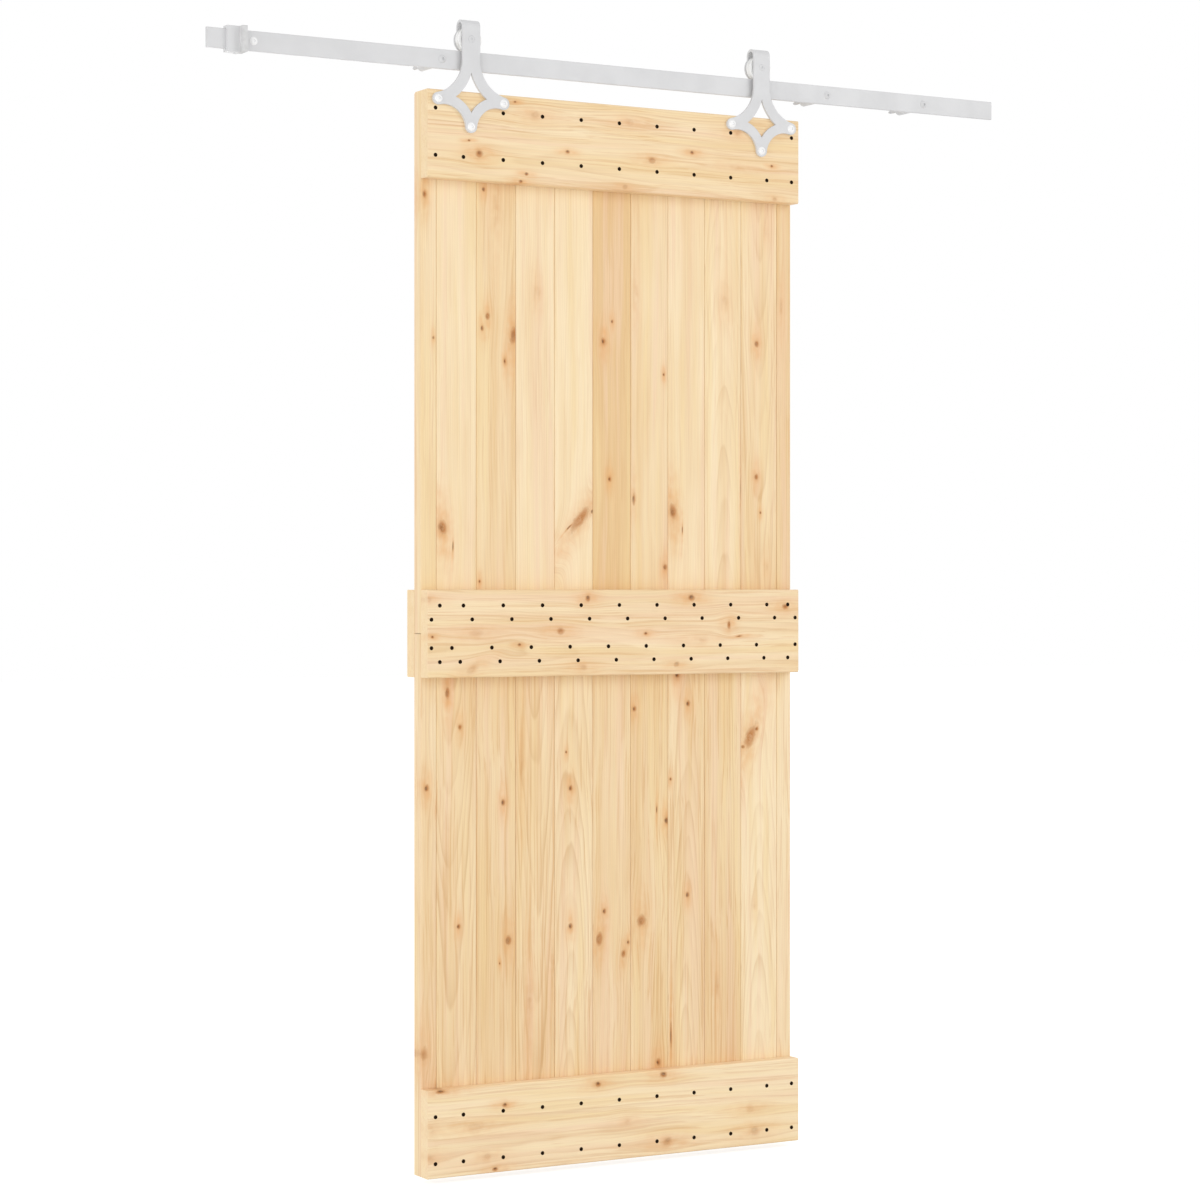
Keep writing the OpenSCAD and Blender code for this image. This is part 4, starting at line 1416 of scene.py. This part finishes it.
@dataclass
class Hanger:
    """One hanger of the leaf: bent strap, bolts, wheel and axle.

    Attributes:
        side: Side of the leaf that it hangs.
        strap_bolt: Bolt through the strap and the leaf.
        axle_bolt: Bolt that carries the wheel.
    """

    side: Side
    strap_bolt: DomeBolt = DomeBolt(
        head_radius=8.5 * MM, head_height=4.5 * MM, shank_radius=4.0 * MM,
        thread=METRIC_THREAD, recess=Recess(corners=6, radius=2.9 * MM, depth=2.4 * MM))
    axle_bolt: DomeBolt = DomeBolt(
        head_radius=7.0 * MM, head_height=1.4 * MM, shank_radius=4.0 * MM,
        thread=replace(METRIC_THREAD, length=10.0 * MM),
        recess=Recess(corners=6, radius=2.2 * MM, depth=1.0 * MM))

    def nodes(self, *names: str) -> list[str]:
        """Names the nodes of this side."""
        return [f"{self.side.value}_{name}" for name in names]

    def dress(self, coat: bpy.types.Material, zinc: bpy.types.Material, nylon: bpy.types.Material) -> None:
        """Gives the pieces of the hanger their finishes.

        Args:
            coat: Powder coat of the strap.
            zinc: Plating of the hidden steel.
            nylon: Finish of the wheel.
        """
        dress(self.nodes("hanger_strap"), coat)
        dress(self.nodes("hanger_washers", "hanger_nuts", "wheel_bearing", "axle_collars", "axle_nut"), zinc)
        dress(self.nodes("wheel"), nylon)

    def build_bolts(self, gloss: bpy.types.Material, coat: bpy.types.Material) -> None:
        """Models the threaded bolts with their socket heads.

        Args:
            gloss: Gloss of the strap's bolts.
            coat: Powder coat of the axle bolt.
        """
        for bolt, name, finish in (
                (self.strap_bolt, "hanger_bolts", gloss), (self.axle_bolt, "axle_bolt", coat)):
            node, = self.nodes(name)
            place_bolts(bolt, node, node.replace("_bolt", "_socket_bolt"), [finish], "leaf")


@dataclass
class Track:
    """Rail with its wall fixings and end stop.

    Attributes:
        spacers: Number of wall spacers.
        wall_bolt: Screw through the rail and a spacer into the wall.
    """

    spacers: int = 4
    wall_bolt: DomeBolt = DomeBolt(
        head_radius=8.0 * MM, head_height=4.0 * MM, shank_radius=4.0 * MM,
        thread=WALL_THREAD, recess=Recess(corners=6, radius=2.9 * MM, depth=2.2 * MM))

    def dress(self, coat: bpy.types.Material, zinc: bpy.types.Material, rubber: bpy.types.Material) -> None:
        """Gives the pieces of the track their finishes.

        Args:
            coat: Powder coat of the rail.
            zinc: Plating of the small screws.
            rubber: Finish of the bumper.
        """
        dress(["rail", "stop_sleeve"] + [f"wall_spacer_{i + 1}" for i in range(self.spacers)], coat)
        dress(["stop_set_screws", "stop_bumper_screws"], zinc)
        dress(["stop_bumper"], rubber)

    def build_bolts(self, gloss: bpy.types.Material, coat: bpy.types.Material) -> None:
        """Models the threaded wall screws with their socket heads.

        Args:
            gloss: White gloss on the screw beside the stop alone, a painted highlight; the same screws
                further along take the coat.
            coat: Powder coat of the other screws.
        """
        # The screw beside the stop takes white gloss as a painted highlight; its copies further along take
        # the coat
        place_bolts(self.wall_bolt, "wall_bolts", "wall_socket_screws", [gloss, coat], "track")


@dataclass(frozen=True)
class Lamp:
    """Soft square lamp.

    Attributes:
        name: Name of the lamp.
        place: Where it hangs, in metres.
        size: Side of its face in metres.
        power: Power in watts.
    """

    name: str
    place: Triple
    size: float
    power: float

    def hang(self, target: Vector) -> None:
        """Hangs the lamp so that it faces a place.

        Args:
            target: Place that it faces.
        """
        data = bpy.data.lights.new(self.name, "AREA")
        data.shape = "SQUARE"
        data.size = self.size
        data.energy = self.power
        lamp = bpy.data.objects.new(self.name, data)
        lamp.location = self.place
        lamp.rotation_euler = (target - lamp.location).to_track_quat("-Z", "Y").to_euler()
        bpy.context.scene.collection.objects.link(lamp)


@dataclass
class Studio:
    """White studio: camera, floor, lamps and world.

    Attributes:
        camera_place: Place of the camera in metres.
        heading: Level direction in which the camera looks.
        sensor: Width of the camera's sensor in millimetres.
        lens: Focal length in millimetres.
        shift: Upward shift of the view, as a share of the frame.
        far: Furthest distance that the camera sees.
        floor_gap: Open height under the leaf.
        floor_size: Side of the floor.
        floor_grey: Grey of the floor that throws light back at the door.
        shadow_grey: Grey of the floor that the eye sees, under its glow.
        glow: Light that the floor itself gives to the eye.
        world: Strength of the light from all round.
        lamps: Lamps round the door, a little stronger at the upper right.
    """

    camera_place: Triple = (-3.0514, -5.378, -1.019)
    heading: Triple = (0.492, 0.8706, 0.0)
    sensor: float = 36.0
    lens: float = 91.7
    shift: float = -0.0111
    far: float = 100.0
    floor_gap: float = 0.012
    floor_size: float = 60.0
    floor_grey: float = 0.82
    shadow_grey: float = 0.5
    glow: float = 0.78
    world: float = 0.75
    lamps: tuple[Lamp, ...] = (
        Lamp("key", (3.2, -4.2, 1.2), 3.0, 65.0),
        Lamp("fill", (-3.6, -4.4, -1.5), 3.0, 42.0),
        Lamp("side", (-4.5, -1.2, -0.9), 2.4, 38.0),
        Lamp("back", (1.0, 4.8, 0.2), 3.0, 55.0),
    )

    def place_camera(self) -> None:
        """Sets the camera at the viewing angle of the photograph."""
        data = bpy.data.cameras.new("camera")
        data.sensor_width = self.sensor
        data.lens = self.lens
        data.shift_y = self.shift
        data.clip_end = self.far
        camera = bpy.data.objects.new("camera", data)
        camera.location = self.camera_place
        camera.rotation_euler = Vector(self.heading).to_track_quat("-Z", "Y").to_euler()
        bpy.context.scene.collection.objects.link(camera)
        bpy.context.scene.camera = camera

    def lay_floor(self) -> None:
        """Lays a pale floor under the leaf that keeps its shadow and lets a view from below through."""
        Bench.clear()
        level = CAD_BOX[0].z - self.floor_gap
        bpy.ops.mesh.primitive_plane_add(size=self.floor_size, location=(0.0, 0.0, level))
        floor = bpy.context.object
        floor.name = "floor"
        material = bpy.data.materials.new("floor_white")
        material.use_nodes = True
        material.node_tree.nodes.clear()
        graph = Graph(material.node_tree)
        rays = graph.add("ShaderNodeLightPath")
        glow = graph.add("ShaderNodeEmission")
        glow.inputs["Strength"].default_value = self.glow
        plain, dim = self._matte(graph, self.floor_grey), self._matte(graph, self.shadow_grey)
        pale = graph.fill(graph.add("ShaderNodeAddShader"), dim, glow.outputs[0]).outputs[0]
        top = self._mix(graph, self._seen(graph, rays), plain, pale)
        surface = graph.add("ShaderNodeNewGeometry")
        under = graph.times(rays.outputs["Is Camera Ray"], surface.outputs["Backfacing"])
        clear = graph.add("ShaderNodeBsdfTransparent").outputs[0]
        graph.fill(graph.add("ShaderNodeOutputMaterial"), self._mix(graph, under, top, clear))
        floor.data.materials.append(material)

    @staticmethod
    def _matte(graph: Graph, grey: float) -> Socket:
        """Adds a matte grey shader."""
        return graph.fill(graph.add("ShaderNodeBsdfDiffuse"), (grey, grey, grey, 1.0)).outputs[0]

    @staticmethod
    def _mix(graph: Graph, factor: Socket, first: Socket, second: Socket) -> Socket:
        """Mixes two shaders: the first one at a factor of 0, the second one at 1."""
        return graph.fill(graph.add("ShaderNodeMixShader"), factor, first, second).outputs[0]

    @staticmethod
    def _seen(graph: Graph, rays: bpy.types.Node) -> Socket:
        """Tells the rays that show the background from those that carry light."""
        first = graph.math("MAXIMUM", rays.outputs["Is Camera Ray"], rays.outputs["Is Glossy Ray"])
        return graph.math("MAXIMUM", first, rays.outputs["Is Transmission Ray"])

    def light(self) -> None:
        """Lights the door from all round and hangs the lamps."""
        world = bpy.data.worlds.new("studio")
        world.use_nodes = True
        bpy.context.scene.world = world
        graph = Graph(world.node_tree)
        backdrop = world.node_tree.nodes["Background"]
        backdrop.inputs["Color"].default_value = (1.0, 1.0, 1.0, 1.0)
        seen = self._seen(graph, graph.add("ShaderNodeLightPath"))
        graph.feed(backdrop.inputs["Strength"], graph.scaled(seen, 1.0 - self.world, self.world))
        for lamp in self.lamps:
            lamp.hang((CAD_BOX[0] + CAD_BOX[1]) / 2)


def main() -> None:
    """Builds the studio, dresses the door and models its screws and bolts."""
    logging.basicConfig(level=logging.INFO, format="%(name)s: %(message)s")
    bpy.context.scene.view_settings.view_transform = "Standard"
    studio = Studio()
    studio.place_camera()
    studio.lay_floor()
    studio.light()
    coat = POWDER_COAT.material()
    gloss = GLOSS_PAINT.material()
    zinc = ZINC_PLATE.material()
    nylon = NYLON.material()
    leaf = DoorLeaf()
    leaf.dress_boards()
    leaf.build_screws(BLACK_SCREW.material())
    for side in Side:
        hanger = Hanger(side)
        hanger.dress(coat, zinc, nylon)
        hanger.build_bolts(gloss, coat)
    track = Track()
    track.dress(coat, zinc, RUBBER.material())
    # The white gloss on the first wall screw is a painted highlight
    track.build_bolts(gloss, coat)


if __name__ == "__main__":
    main()
